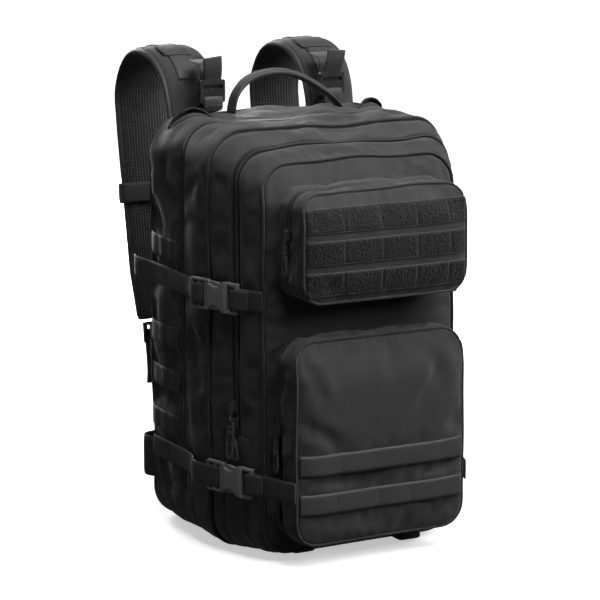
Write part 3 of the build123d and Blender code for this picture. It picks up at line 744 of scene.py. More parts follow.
# The folds that a half-full pack shows: under the straps, beside the seams and rows.
for cloth_piece, folds in (
        (lower_panel, [((98, -142, 256), (34, -142, 160), 5.0, 11),
                       ((100, -142, 250), (58, -142, 172), -3.6, 6),
                       ((70, -142, 262), (78, -142, 196), 2.6, 9),
                       ((-100, -142, 252), (-78, -142, 196), 3.0, 8),
                       ((-104, -142, 176), (-52, -142, 148), 3.4, 8),
                       ((104, -142, 114), (54, -142, 102), 4.4, 7),
                       ((-100, -142, 106), (-24, -142, 101), 3.0, 5),
                       ((30, -142, 108), (88, -142, 99), 2.4, 5),
                       ((-84, -142, 60), (20, -142, 48), 2.6, 8),
                       ((102, -142, 66), (56, -142, 44), 3.6, 8)]),
        (lower_shell, [((-112, -96, 230), (-108, -132, 196), 2.6, 9),
                       ((-112, -100, 118), (-110, -136, 132), 3.0, 7),
                       ((-112, -104, 60), (-108, -136, 84), 3.0, 8)]),
        (second_panel, [((-96, -88, 306), (60, -88, 296), 3.0, 8)]),
        (second_shell, [((-130, -54, 262), (-126, -82, 190), 3.0, 12),
                        ((-60, -62, 470), (40, -66, 470), 3.4, 9),
                        ((60, -76, 470), (108, -58, 466), 2.8, 8),
                        ((-112, -76, 462), (-70, -58, 470), 2.6, 8),
                        ((-128, -58, 52), (-124, -82, 100), 4.0, 10)]),
        (second_rear, [((-146, -20, 250), (-150, -34, 120), 2.4, 9)]),
        (main_shell, [((-158, 44, 262), (-158, 8, 140), 2.8, 12),
                      ((-60, 36, 500), (70, 16, 500), 3.2, 12), ((70, 44, 500), (126, 12, 498), 2.6, 10),
                      ((-158, 40, 424), (-158, 6, 372), 2.8, 10),
                      ((-158, 44, 120), (-158, 4, 60), 3.0, 10)]),
        (rear_shell, [((-158, 130, 476), (-158, 92, 396), 4.6, 13),
                      ((-158, 96, 470), (-158, 110, 430), 2.6, 9),
                      ((-158, 100, 300), (-158, 82, 200), 2.6, 14),
                      ((-158, 130, 100), (-158, 92, 40), 3.4, 12),
                      ((158, 124, 474), (158, 94, 396), 3.8, 12),
                      ((158, 100, 300), (158, 84, 190), 2.6, 14),
                      ((-110, 134, 500), (-10, 116, 500), 3.6, 12),
                      ((40, 120, 500), (120, 100, 500), 2.6, 12)]),
        (upper_shell, [((-60, -130, 443), (70, -134, 443), 2.2, 8),
                       ((-108, -122, 400), (-106, -144, 340), 2.0, 9)]),
        (upper_panel, [((-90, -152, 432), (90, -152, 428), 1.8, 7)]),
        (back_cloth, [((-120, 152, 470), (110, 152, 462), 2.0, 12)])):
    for fold in folds:
        dent(cloth_piece, *fold)


def surface(*objs):
    """A tree of the cloth as it now lies, in millimetres, to lay webbing on."""
    verts, faces = [], []
    for obj in objs:
        base = len(verts)
        verts += [v.co / MM for v in obj.data.vertices]
        faces += [[i + base for i in p.vertices] for p in obj.data.polygons]
    return BVHTree.FromPolygons(verts, faces)


def drop_on(tree, points, direction, lift):
    """Move each point back along direction onto the cloth, and lift it off again."""
    out = np.array(points, float)
    ray = Vector(direction)
    for i in np.ndindex(out.shape[:-1]):
        start = Vector(out[i]) - ray * 40
        hit = tree.ray_cast(start, ray, 90)[0] or tree.find_nearest(Vector(out[i]))[0]
        out[i] = hit - ray * lift
    return out


def attach(obj, body, slot, *nodes):
    """Put a piece on its body and hide the CAD nodes it stands for. slot is not used."""
    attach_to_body(obj, body)
    if nodes:
        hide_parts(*nodes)
    return obj


# ---- piping and zips ------------------------------------------------------------------


def seam_line(space, y, grow):
    xz, _ = outline(space, y, grow)
    return soften(np.stack([xz[:, 0], np.full(len(xz), y), xz[:, 1]], 1))


def piping(name, space, y, grow, radius):
    parts = Parts()
    tube(parts, resample(seam_line(space, y, grow), 4, True), radius, closed=True)
    return parts.make(name, FABRIC)[0]


for name, space, y, grow, radius, body in (
        ("back", MAIN, BACK - 1.5, -1.6, 1.7, "rear"),
        ("main", MAIN, -3.4, -1.0, 1.9, "main_front"),
        ("second", SECOND, -84.4, -0.9, 1.8, "second_front"),
        ("upper", UPPER, -147.4, -0.8, 1.7, "upper_pocket_front")):
    attach(piping(name + "_seam_piping", space, y, grow, radius), body, "shell_fabric")


def zip_part(name, space, y, columns, side):
    """One half of a zip along the open columns: its tape, coil and two rows of stitches."""
    keep = np.nonzero(columns)[0]
    parts = Parts()
    rows = []
    for out, grow in ((8.5, -2.6), (6.0, -2.2), (2.6, -1.7), (0.35, -1.5)):
        rows.append(seam_line(space, y + side * out, grow)[keep[0]:keep[-1] + 2])
    grid = np.array(rows if side > 0 else rows[::-1])
    lengths = outline(space, y)[1][keep[0]:keep[-1] + 2]
    across = np.array([8.5, 6.0, 2.6, 0.35])
    uv = np.stack(np.meshgrid(lengths, across if side > 0 else across[::-1]), -1)
    parts.grid(grid, uv, 0)
    path = resample(rows[-1], 1.9)
    along = tangents(path)
    forward = np.array((0.0, side, 0.0))
    normal = unit(np.cross(along, forward) * -side)
    shape, faces = capsule(3.6, 0.95)
    middle = path + forward * 1.3 + normal * 1.0
    frames = np.stack([np.broadcast_to(forward, along.shape), np.cross(normal, forward), normal], 1)
    instances(parts, shape, faces, middle, frames, 1)
    for out in (SLOT + 2.0, SLOT + 5.0):
        line = seam_line(space, y + side * out, -0.7)[keep[0]:keep[-1] + 2]
        lift = np.cross(tangents(line), forward) * -side
        stitches(parts, resample(line + lift * 0.6, 5), resample(lift, 1)[:1], radius=0.42, slot=2)
    return parts.make(name, TAPE, COIL, THREAD)[0]


def add_zip(name, space, zip_line, columns, bodies):
    """Both halves, each riding on its own side. bodies is (rear side, front side)."""
    halves = [zip_part(f"{name}_{half}", space, zip_line[0], columns, side)
              for half, side in (("rear", 1), ("front", -1))]
    for half, body in zip(halves, bodies):
        if body:
            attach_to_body(half, body)
    return halves


main_zip = add_zip("main_zip", MAIN, MAIN_ZIP, MAIN_COLUMNS, ("rear", "main_front"))
second_zip = add_zip("second_zip", SECOND, SECOND_ZIP, SECOND_COLUMNS, ("main_front", "second_front"))
upper_zip = add_zip("upper_zip", UPPER, UPPER_ZIP, UPPER_COLUMNS, ("second_front", "upper_pocket_front"))
lower_zip = add_zip("lower_zip", LOWER, LOWER_ZIP, LOWER_COLUMNS, ("second_front", None))
lower_piping = piping("lower_seam_piping", LOWER, -137.4, -0.8, 1.6)

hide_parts("main_zip_rear")
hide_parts("front_zips")
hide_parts("second_zip_front")
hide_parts("pocket_zips")
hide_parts("upper_zip_front")
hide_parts("lower_zip_front")

# ---- cloth pieces on their bodies; the bellows and lower pocket front stay in place ---

for obj, body, nodes in (
        (rear_shell, "rear", ["rear_shell"]), (back_cloth, "rear", ["back_panel"]),
        (main_shell, "main_front", ["main_front_shell"]), (main_panel, "main_front", []),
        (second_rear, "main_front", ["second_rear_gusset"]),
        (second_shell, "second_front", ["second_front_shell"]), (second_panel, "second_front", []),
        (upper_base, "second_front", ["upper_pocket_base"]),
        (upper_shell, "upper_pocket_front", ["upper_pocket_front"]),
        (upper_panel, "upper_pocket_front", []), (lower_base, "second_front", [])):
    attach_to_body(obj, body)
    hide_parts(*nodes)
lower_fold = ("second_front", "lower_pocket_flap", (0, 0, 0.141), (0, 0, 0.165))
for obj, a, b, start, end, nodes in (
        (main_bellows, "rear", "main_front", (0, 0.094, 0), (0, 0.034, 0), []),
        (second_bellows, "main_front", "second_front", (0, -0.028, 0), (0, -0.064, 0), []),
        (upper_bellows, "second_front", "upper_pocket_front", (0, -0.095, 0), (0, -0.129, 0), []),
        (lower_shell, *lower_fold, ["lower_pocket_base"]),
        (lower_panel, *lower_fold, ["lower_pocket_flap"]),
        (lower_piping, *lower_fold, []), (lower_zip[1], *lower_fold, [])):
    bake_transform(obj)
    if nodes:
        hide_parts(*nodes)

# ---- zip pulls ------------------------------------------------------------------------


def side_frame(space, y, z, side):
    """Where a slider sits: its place, then downwards, across the zip and out, as columns."""
    rear, front, _ = space
    width = between(rear, front, y)[0]
    slope = (front[1] - rear[1]) / 2 / (front[0] - rear[0])
    out = Vector((side, -slope, 0)).normalized()
    down = Vector((0, 0, -1))
    across = out.cross(down)
    return np.array((side * width / 2, y, z)), np.array([down, across, out])


def pull(name, space, zip_line, z, side, drop, spread, lean, lift):
    """A loop of cord hanging from a slider's tab, whipped together near its foot."""
    origin, axes = side_frame(space, zip_line[0], z, side)
    start, out = 16.6, 4.2 + lift
    half = [(0.00, 1.8, 0.0), (0.10, 1.9, 0.1), (0.25, 2.6, 0.2), (0.48, spread * 0.8, 0.4),
            (0.72, spread, 0.7), (0.88, spread * 0.85, 0.9), (0.97, spread * 0.4, 1.0)]
    route = [(start + drop * t, -a + lean * s, out) for t, a, s in half]
    route += [(start + drop * t, a + lean * s, out) for t, a, s in reversed(half)]
    points = [(origin + np.array(p) @ axes) * MM for p in route]
    curve = bpy.data.curves.new(name + "_loop", "CURVE")
    curve.dimensions = "3D"
    spline = curve.splines.new("NURBS")
    spline.points.add(len(points) - 1)
    for point, place in zip(spline.points, points):
        point.co = (*place, 1)
    spline.order_u = 3
    spline.use_endpoint_u = True
    spline.resolution_u = 8
    curve.bevel_depth = 0.0013
    curve.bevel_resolution = 4
    curve.materials.append(CORD)
    loop = bpy.data.objects.new(name + "_loop", curve)
    scene.collection.objects.link(loop)
    parts = Parts()
    for at, wide, turns, thick in ((0.30, spread * 0.62 + 1.5, 4, 0.65), (0.15, 3.3, 2, 0.6)):
        turn = np.linspace(0, 2 * math.pi * turns, 14 * turns)
        along = start + drop * at + (turn / turn[-1] - 0.5) * turns * 2.0 * thick
        coil = np.stack([along, np.cos(turn) * (wide + 0.5) + lean * at, out + np.sin(turn) * 1.75], 1)
        tube(parts, origin + coil @ axes, thick, count=7)
    hitch = np.linspace(0, 2 * math.pi, 18, endpoint=False)
    ring_path = np.stack([14.4 + 3.0 * np.cos(hitch), 0.35 * np.sin(hitch * 2),
                          out + 1.9 * np.sin(hitch)], 1)
    tube(parts, origin + ring_path @ axes, 1.05, closed=True, count=7)
    whipping, _ = parts.make(name + "_whipping", CORD)
    body = name if name in frame["bodies"] else name.replace("_pull", "_slider")
    attach(loop, body, "pull_cord", name)
    attach(whipping, body, "pull_cord")


pull("main_upper_pull", MAIN, MAIN_ZIP, 446.0, 1, 56.0, 4.6, 2.0, 3.6)
pull("main_lower_pull", MAIN, MAIN_ZIP, 426.0, 1, 50.0, 4.6, -2.0, 0.0)
pull("second_upper_pull", SECOND, SECOND_ZIP, 182.0, -1, 46.0, 4.4, -3.0, 3.6)
pull("second_lower_pull", SECOND, SECOND_ZIP, 162.0, -1, 28.0, 4.2, 3.0, 0.0)
pull("upper_pocket_pull", UPPER, UPPER_ZIP, 392.0, -1, 32.0, 4.0, -1.5, 0.0)
pull("lower_pocket_pull", LOWER, LOWER_ZIP, 162.0, -1, 34.0, 4.4, 2.0, 0.0)

# ---- webbing --------------------------------------------------------------------------

X, Y, Z = (1.0, 0.0, 0.0), (0.0, 1.0, 0.0), (0.0, 0.0, 1.0)


def strip(parts, path, across, width=WEBBING, thickness=THICK, waviness=0.35):
    """Webbing along a path, with the faint waves of a woven band."""
    path = np.array(path, float)
    gone = distances(path)
    phase = rng.uniform(0, 6)
    along = tangents(path)
    side = np.broadcast_to(np.asarray(across, float), path.shape)
    out = unit(np.cross(along, side))
    ease = np.clip(np.minimum(gone, gone[-1] - gone) / 12, 0, 1)
    path = path + out * (waviness * ease * np.sin(gone / 17 + phase))[:, None]
    sweep(parts, path, across, flat_section(width, thickness), 0)


def box_stitch(parts, centre, u, v, width, height, out, cross=True, slot=1):
    """A sewn rectangle, usually with its diagonals."""
    c, u, v = np.array(centre, float), np.array(u, float), np.array(v, float)
    corners = ((-1, -1), (1, -1), (1, 1), (-1, 1))
    a, b, d, e = (c + u * width / 2 * i + v * height / 2 * j for i, j in corners)
    runs = [(a, b), (b, d), (d, e), (e, a)] + ([(a, d), (b, e)] if cross else [])
    for start, end in runs:
        stitches(parts, resample([start, end], 3), out, slot=slot)


def finish_web(parts, name, body, *nodes):
    obj, _ = parts.make(name, WEB, THREAD)
    attach(obj, body, "webbing")
    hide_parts(*nodes)


def sewn_row(parts, tree, start, end, across, direction, width, tacks, lift=0.9, gap=0.5):
    """A row of webbing laid on the cloth and tacked down at tacks (0 to 1 along it), with a
    little slack between the tacks."""
    path = resample([start, end], 2.5)
    facing, edge = np.array(direction, float), np.array(across, float) * width / 2
    drops = np.stack([drop_on(tree, path + edge * k, direction, lift) @ facing for k in (-0.9, 0, 0.9)])
    smooth = path + facing * (drops.min(0) - path @ facing)[:, None]
    for _ in range(40):
        smooth[1:-1] = (smooth[:-2] + smooth[1:-1] * 2 + smooth[2:]) / 4
    t = np.linspace(0, 1, len(path))
    stops = np.array(sorted([0.0, 1.0] + list(tacks)))
    near = np.abs(t[:, None] - stops[None]).min(1) * np.linalg.norm(np.subtract(end, start))
    rise = gap * (1 - np.exp(-(near / 8) ** 2))
    away = -facing
    path = smooth + away * rise[:, None]
    sweep(parts, path, across, flat_section(width, THICK), 0)
    side = unit(edge)
    for stop in stops:
        at = path[int(round(stop * (len(path) - 1)))] + away * (THICK / 2 + 0.1)
        inward = 2.2 * (1 if stop < 0.02 else -1 if stop > 0.98 else 0) * unit(np.subtract(end, start))
        for step in (-0.7, 0.7):
            offset = inward + unit(np.subtract(end, start)) * step
            ends = [at + offset - side * (width / 2 - 1.6), at + offset + side * (width / 2 - 1.6)]
            stitches(parts, resample(ends, 3), away, pitch=2.6, length=2.1, slot=1)


front_tree = surface(lower_panel)
lower_rows = Parts()
for z in (126.0, 80.0):
    sewn_row(lower_rows, front_tree, (-107.5, -150, z), (107.5, -150, z), (0, 0, -1.0), Y, WEBBING,
             (0.22, 0.45, 0.65, 0.86), lift=1.4, gap=0.9)
finish_web(lower_rows, "lower_pocket_ladder", "second_front", "lower_ladder_webbing")

side_tree = surface(rear_shell)
side_rows = Parts()
for z in (347.0, 240.0, 186.0, 132.0):
    for x, first, last, inward, tacks in ((-165, 149, 73, X, (0.36, 0.70)),
                                          (165, 73, 149, (-1.0, 0, 0), (0.30, 0.64))):
        sewn_row(side_rows, side_tree, (x, first, z), (x, last, z), (0, 0, -1.0), inward, WEBBING,
                 tacks, gap=1.2)
finish_web(side_rows, "side_ladders", "rear", "side_ladder_webbing")

# Loop-faced rows: a band with a nap of loops that stands up between its sewn columns.
pile = Parts()
upper_tree = surface(upper_panel)
for z in (411.5, 375.0, 338.5):
    columns = np.arange(-104.4, 104.5, 0.7)
    rows = np.arange(-12.6, 12.7, 0.7)
    x, h = np.meshgrid(columns, rows)
    levels = np.stack([drop_on(upper_tree, np.stack([columns, np.full(len(columns), -165.0),
                                                     np.full(len(columns), z + step)], 1), Y, 0.5)[:, 1]
                       for step in (-12.6, 0, 12.6)])
    for _ in range(60):
        levels[:, 1:-1] = (levels[:, :-2] + levels[:, 1:-1] * 2 + levels[:, 2:]) / 4
    corner = np.clip(np.abs(z + h - 379.0) - 40.0, 0, None)
    reach = 80.5 + np.sqrt(576.0 - corner ** 2)
    x = x - np.sign(x) * np.clip(np.abs(x) - 80.5, 0, None) * (104.4 - reach) / 23.9
    lean = (h / 12.6)[..., None] ** (0, 1, 2) @ ((0, 1, 0), (-0.5, 0, 0.5), (0.5, -1, 0.5))
    base = np.einsum("rck,kc->rc", lean, levels)
    tacks = np.array([-104.4, -58.0, -8.5, 37.0, 81.0, 104.4])
    near = np.abs(x[..., None] - tacks).min(-1)
    edge = np.clip((13.0 - np.abs(h)) / 1.5, 0, 1)
    loops = rng.normal(0, 1, x.shape)
    loops = (loops + np.roll(loops, 1, 0) + np.roll(loops, 1, 1) + np.roll(loops, (1, 1), (0, 1))) / 2
    nap = 0.6 + (1.5 + 0.38 * loops) * edge * (1 - 0.95 * np.exp(-(near / 1.7) ** 2))
    y = base - nap
    pile.grid(np.stack([x, y, z + h], -1), np.stack([x, h], -1), 0)
    for side, row in ((-1, 0), (1, -1)):
        band = np.stack([x[row], base[row] - 0.5, np.full(len(columns), z + side * 13.2)], 1)
        tube(pile, resample(band, 2.5), 0.75, 1, count=6)
    for x_tack in tacks[1:-1]:
        at = np.interp(x_tack, columns, base[len(rows) // 2])
        for step in (-0.6, 0.6):
            ends = [(x_tack + step, at - 1.0, z + end) for end in (-11.5, 11.5)]
            stitches(pile, resample(ends, 3), (0.0, -1.0, 0.0), slot=1)
loop_rows, _ = pile.make("upper_pocket_loop_rows", PILE, WEB)
attach(loop_rows, "upper_pocket_front", "loop_pile", "upper_loop_webbing")

# Compression straps: seen from above, a run from the rear side to a seam further forward.
UPPER_RUN = ((-169.5, 10.0), (-136.0, -86.0))
LOWER_RUN = ((-169.5, 10.0), (-120.0, -140.0))
STRAP_LEVELS = ((UPPER_RUN, 28.0, 311.0, 196.0, (-128.4, -87.0)),
                (LOWER_RUN, 52.0, 96.0, 140.0, (-113.6, -141.0)))


def point_on(run, along, out=0.0):
    (x0, y0), (x1, y1) = run
    length = math.hypot(x1 - x0, y1 - y0)
    ux, uy = (x1 - x0) / length, (y1 - y0) / length
    return (x0 + ux * along + uy * out, y0 + uy * along - ux * out)


def standing(points, z):
    """A path drawn from above, at height z."""
    return np.array([(x, y, z) for x, y in points])


front_webs = Parts()
for level, (run, buckle, z, tail, seam) in zip(("upper", "lower"), STRAP_LEVELS):
    front_slot = buckle - 28.0 * 0.36
    points = [(-159.3, 73.0), (-159.3, 28.0), point_on(run, -2, 4.0), point_on(run, front_slot, 4.0),
              point_on(run, front_slot + 1.5, 0.0), point_on(run, front_slot, -4.0),
              point_on(run, front_slot - 16, -4.0)]
    if tail > 150:
        lead = [(-158.5, tail, z), (-163.5, tail - 14, z), (-160.4, 150, z), (-160.2, 110, z)]
    else:
        lead = [(-160.4, tail, z), (-160.2, 110, z)]
    path = rounded(np.vstack([lead, standing(points, z)]), 2, 2.5)
    socket = buckle + 46.0 * 0.80
    fore = [point_on(run, socket + 24, -0.8), point_on(run, socket + 11, 4.2), point_on(run, socket, 4.2),
            point_on(run, socket - 1.4, 0.0), point_on(run, socket, -4.2), point_on(run, socket + 11, -4.0),
            seam]
    front_path = rounded(standing(fore, z), 2, 2.0)
    for mirror, word in ((1, "left"), (-1, "right")):
        scale = np.array((mirror, 1, 1))
        out = np.array((-mirror, 0.0, 0.0))
        web = Parts()
        strip(web, path * scale, (0, 0, -1.0 * mirror), waviness=0.2)
        strip(front_webs, front_path * scale, (0, 0, -1.0 * mirror), waviness=0.2)
        for y in (142.0, 114.0, 88.0):
            for step in (-1.0, 1.0):
                place = np.array((-161.3, y + step, z)) * scale
                stitches(web, resample([place - (0, 0, 10.5), place + (0, 0, 10.5)], 3), out, slot=1)
        obj, _ = web.make(f"{level}_{word}_rear_web", WEB, THREAD)
        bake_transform(obj)
        if (level, word) == ("upper", "left"):
            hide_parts("rear_compression_webs")
finish_web(front_webs, "compression_webs_front", "second_front", "front_compression_webs")

# Lashing webs under the front edge of the base.
lash = Parts()
for x, fore in ((-68.0, -78.0), (68.0, -91.0)):
    path = rounded([(x, -40, 6), (x, -56, 3.0), (x, -68, 2.8), (x, fore, 3.0), (x, fore - 2.5, 8),
                    (x, fore + 0.5, 17)], 2, 2)
    strip(lash, path, X, waviness=0.15)
finish_web(lash, "base_lashes", "second_front", "base_lash_webs")

# ---- grab handle and tube ports -------------------------------------------------------

handle_points = [(-73, 100, 503), (-72, 100, 512), (-68, 100, 526), (-52, 100, 543), (-24, 100, 550),
                 (8, 100, 548), (42, 100, 531), (66, 100, 512), (73, 100, 503)]
handle_path = rounded(handle_points, 2, 3.0)
t = np.linspace(0, 1, len(handle_path))
open_ends = np.clip((np.abs(t - 0.5) - 0.30) / 0.14, 0, 1)
fold = np.stack([0.72 + 0.28 * open_ends, 1.0 - 0.5 * open_ends], 1)
turn = np.linspace(0, 2 * math.pi, 20, endpoint=False)
pinch = 1 - 0.28 * np.exp(-(np.cos(turn) / 0.25) ** 2)
lens_section = np.stack([11.5 * np.cos(turn), 4.6 * np.sin(turn) * pinch], 1)
handle = Parts()
sweep(handle, handle_path, Y, lens_section, 0, scale=fold)
middle = handle_path[8:-8]
up = unit(np.cross(tangents(middle), np.broadcast_to(Y, middle.shape)))
for side in (-5.6, 5.6):
    stitches(handle, middle + up * 3.8 + np.array((0, side, 0)), up, slot=1)
finish_web(handle, "carry_handle_webbing", "grab_handle", "grab_handle")

def port(parts, tree, first, last):
    """An eye-shaped opening: two lips of cloth sewn to the bag, meeting at the ends."""
    u, v = np.meshgrid(np.linspace(-1, 1, 25), np.linspace(0, 1, 8))
    first, last = np.array(first, float), np.array(last, float)
    line = (first + last) / 2 + (last - first) / 2 * u[..., None]
    across = unit(np.cross(last - first, (0.0, 0.0, 1.0)))
    across = across * np.sign(across[1])
    lens = 1 - u ** 2
    for reach, height in ((10.0, 8.5), (-8.0, 2.6)):
        wide = reach * lens * (1 - v)
        rise = 0.4 + height * lens * np.sin(v * 1.9) / math.sin(1.9)
        points = line + across * wide[..., None]
        for i in np.ndindex(u.shape):
            hit, normal = tree.find_nearest(Vector(points[i]))[:2]
            points[i] = hit + normal * rise[i]
        facing = np.cross(points[0, 1] - points[0, 0], points[1, 12] - points[0, 12])
        if facing[2] > 0:
            points = points[::-1]
        parts.grid(points[::-1], np.stack([u * 27, v * 9], -1), 0)
        if reach > 0:
            lip = points[-1] if facing[2] <= 0 else points[0]
            tube(parts, resample(lip, 3), 1.1, 0, count=6)
    tab = [line[0, -1] + (0, 0, 3), line[0, -1] + unit(last - first) * 9 + (0, 0, 3.4)]
    sweep(parts, resample(tab, 3), across, flat_section(9, 1.2), 0)


ports = Parts()
port(ports, side_tree, (-147, 122, 487), (-101, 98, 500))
port(ports, side_tree, (147, 122, 487), (101, 98, 500))
port_cloth, _ = ports.make("tube_port_flaps", FABRIC)
attach(port_cloth, "rear", "shell_fabric", "tube_ports")
port_cloth.modifiers.new("thickness", "SOLIDIFY").thickness = 0.0012

# ---- harness --------------------------------------------------------------------------

STRAP_ROUTE = [(160.0, 420.0), (160.5, 505.0), (182.0, 549.0), (228.0, 568.0), (280.0, 560.0),
               (315.0, 515.0), (309.0, 470.0), (281.0, 270.0), (276.0, 226.0)]


def strap_section(width, thickness):
    """Foam between two faces: rounded outside, flatter on the mesh side."""
    a = np.linspace(-1, 1, 15)
    outer = thickness * (0.10 + 0.40 * np.sqrt(np.clip(1 - a ** 4, 0, 1)))
    inner = -thickness * (0.10 + 0.38 * np.sqrt(np.clip(1 - a ** 6, 0, 1)))
    top = np.stack([a * width / 2, outer], 1)
    bottom = np.stack([a[::-1] * width / 2, inner[::-1]], 1)
    return top, bottom


def shoulder_strap(name, side):
    x = side * STRAP_X
    flat = rounded([(y, z) for y, z in STRAP_ROUTE], 3, 4.0)
    path = np.stack([np.full(len(flat), x), flat[:, 0], flat[:, 1]], 1)
    t = np.linspace(0, 1, len(path))
    width = np.interp(t, (0, 0.12, 0.3, 0.6, 0.9, 1), (50, 60, 66, 64, 56, 44))
    puff = 1 + 0.05 * np.sin(t * 46) + 0.04 * np.sin(t * 19 + 1)
    along = tangents(path)
    out = np.cross(np.broadcast_to(X, path.shape), along)
    top, bottom = strap_section(1.0, 12.0)
    parts = Parts()
    for face, slot in ((top, 0), (bottom, 1)):
        thick = face[None, :, 1:] * puff[:, None, None]
        points = (path[:, None] + np.array(X) * (face[None, :, :1] * width[:, None, None])
                  + out[:, None] * thick)
        gone = distances(path)
        uv = np.stack(np.meshgrid(face[:, 0] * 62, gone), -1)
        parts.grid(points[:, ::-1], uv[:, ::-1], slot)
    for edge in (-1, 1):
        rim = path + np.array(X) * (edge * width / 2)[:, None]
        tube(parts, rim, 3.1, 2, across=X, flat=1.0, count=10)
        row = path + np.array(X) * (edge * (width / 2 - 5.0))[:, None] + out * (4.9 * puff)[:, None]
        stitches(parts, row, out, slot=3)
    for end in (0, -1):
        cap = path[end] + np.stack([np.linspace(-0.5, 0.5, 9) * width[end], np.zeros(9), np.zeros(9)], 1)
        tube(parts, cap, 5.4, 2, count=10)
    obj, _ = parts.make(name, FABRIC, SPACER, WEB, THREAD)
    attach(obj, "rear", "shell_fabric", "shoulder_strap_left" if side < 0 else "shoulder_strap_right")
    trim = Parts()
    first, last = int(0.20 * len(path)), int(0.95 * len(path))
    band = path[first:last] + out[first:last] * (6.6 * puff[first:last])[:, None]
    sweep(trim, band, X, flat_section(28, THICK), 0)
    for edge in (-12.0, 12.0):
        stitches(trim, band + np.array((edge, 0, 0)) + out[first:last] * 0.9, out[first:last], slot=1)
    for at in (0.30, 0.52, 0.66, 0.80):
        k = int(at * len(path))
        box_stitch(trim, path[k] + out[k] * 7.6, X, along[k], 22, 16, out[k])
    k = int(0.27 * len(path))
    patch = [path[k] + out[k] * 8.0 - along[k] * 4, path[k + 3] + out[k + 3] * 8.2,
             path[k + 6] + out[k + 6] * 8.0]
    sweep(trim, rounded(patch, 1, 2), X, flat_section(40, 1.4), 0)
    finish_web(trim, name + "_webbing", "rear")


shoulder_strap("harness_strap_left", -1)
shoulder_strap("harness_strap_right", 1)

# Load lifters: sewn at the top seam, through the lock, and up to the strap; the tail is free.
lifters = Parts()
for mirror in (1, -1):
    x = -82.0 * mirror
    route = [(x, 143, 500), (x, 129.4, 503), (x, 128.8, 511), (x, 129.4, 518.8), (x, 134, 520.5),
             (x, 139.4, 518.8), (x, 140.2, 546), (x, 146, 558), (x, 170, 560)]
    strip(lifters, rounded(route, 2, 2.0), X)
    strip(lifters, rounded([(x, 138.8, 517), (x, 139.4, 510.5), (x, 153.6, 504)], 2, 2.0), X)
    strip(lifters, rounded([(x, 137.2, 522), (x, 133.5, 536), (x - 1.5 * mirror, 128, 552),
                            (x - 3 * mirror, 126, 568)], 2, 2.0), X, waviness=0.8)
    box_stitch(lifters, (x, 128.4, 507.0), X, Z, 20, 6, (0, -1.0, 0), cross=False)
finish_web(lifters, "load_lifter_webs", "rear", "lifter_webs")

lower_webs = Parts()
for mirror in (1, -1):
    scale = np.array((mirror, 1, 1))
    route = np.array([(-96, 268, 214), (-97, 263, 205), (-106, 243, 184), (-122, 205, 150),
                      (-140, 158.5, 118)]) * scale
    strip(lower_webs, rounded(route, 2, 3), unit(np.array((1.0 * mirror, 0.18, -0.30))))
    tail = np.array([(-95, 278.4, 200), (-95, 277, 182), (-96, 272, 160), (-97, 271, 138)]) * scale
    strip(lower_webs, rounded(tail, 2, 3), X, waviness=0.9)
finish_web(lower_webs, "strap_webs_lower", "rear", "strap_lower_webs")

# Chest strap: a loop round each shoulder strap, and a web to each half of the buckle.
chest_up = unit(np.array((0.0, 28.0, 200.0)))
chest_at = np.array((0.0, 281.0, 270.0)) + chest_up * 112.0
chest_back = np.cross(X, -chest_up)
chest_back = chest_back * np.sign(chest_back[1])


def chest_point(x, back):
    return chest_at + np.array((x, 0, 0)) + chest_back * back


chest = Parts()
for side in (-1, 1):
    turn = np.linspace(0, 2 * math.pi, 48, endpoint=False)
    across, back = (np.sign(v) * np.abs(v) ** 0.35 for v in (np.cos(turn), np.sin(turn)))
    loop_path = np.array([chest_point(side * STRAP_X + 36.2 * a, 9.2 * b) for a, b in zip(across, back)])
    sweep(chest, resample(loop_path, 3, True), chest_up, flat_section(WEBBING, THICK), 0, closed=True)
for start, end in ((-74, -10), (72, 30)):
    lead = [chest_point(start, 9.9), chest_point(start * 0.9, 10.8), chest_point(end, 10.8)]
    strip(chest, rounded(lead, 1, 3), chest_up, waviness=0.3)
    box_stitch(chest, chest_point(start * 0.93, 11.7), X, chest_up, 9, 20, chest_back)
finish_web(chest, "chest_strap_webbing", "chest_strap", "chest_strap")

# Back pads: foam under spacer mesh, with an edge seam and an air channel between them.


def back_pad(parts, x, z, width, height):
    shape = (width, z - height / 2, z + height / 2, 22.0)
    points, flat = panel_points(shape, 0, 30, 46 if height > 180 else 40, 0, 1.0, 1, 9.0)
    inside = points[..., 1]
    rise = 7.2 * np.clip(inside, 0, 1) ** 0.7
    for line in (-0.25, 0.25) if height > 180 else (-0.22, 0.22):
        rise -= 2.2 * np.exp(-((flat[..., 1] - z - line * height) / 4.0) ** 2) * np.clip(inside, 0, 1)
    pad_points = np.stack([flat[..., 0] + x, BACK - 0.2 + rise, flat[..., 1]], -1)
    parts.grid(pad_points[:, ::-1], flat[:, ::-1], 0)
    xz, _ = ring(shape, 30, 46)
    edge = np.stack([xz[:, 0] + x, np.full(len(xz), BACK + 1.2), xz[:, 1]], 1)
    tube(parts, resample(edge, 4, True), 1.7, 1, closed=True)


pads = Parts()
for x, z, width, height in ((-64, 322, 104, 196), (64, 322, 104, 196), (0, 118, 232, 168)):
    back_pad(pads, x, z, width, height)
back_pads, _ = pads.make("back_padding", SPACER, WEB)
attach(back_pads, "rear", "mesh", "back_pads")

# Waist belt.
belt = Parts()
for mirror in (1, -1):
    path = rounded(standing([(-136, 152.6), (-150, 156), (-158.5, 168), (-157, 181), (-146, 190),
                             (-120, 191), (-80, 190), (-40 if mirror > 0 else -60, 190)], 74.0), 2, 3)
    strip(belt, path * (mirror, 1, 1), (0, 0, -1.0 * mirror), 50, 2.0, 0.6)
finish_web(belt, "waist_belt", "rear", "belt_webs")

# ---- inside the compartments ----------------------------------------------------------


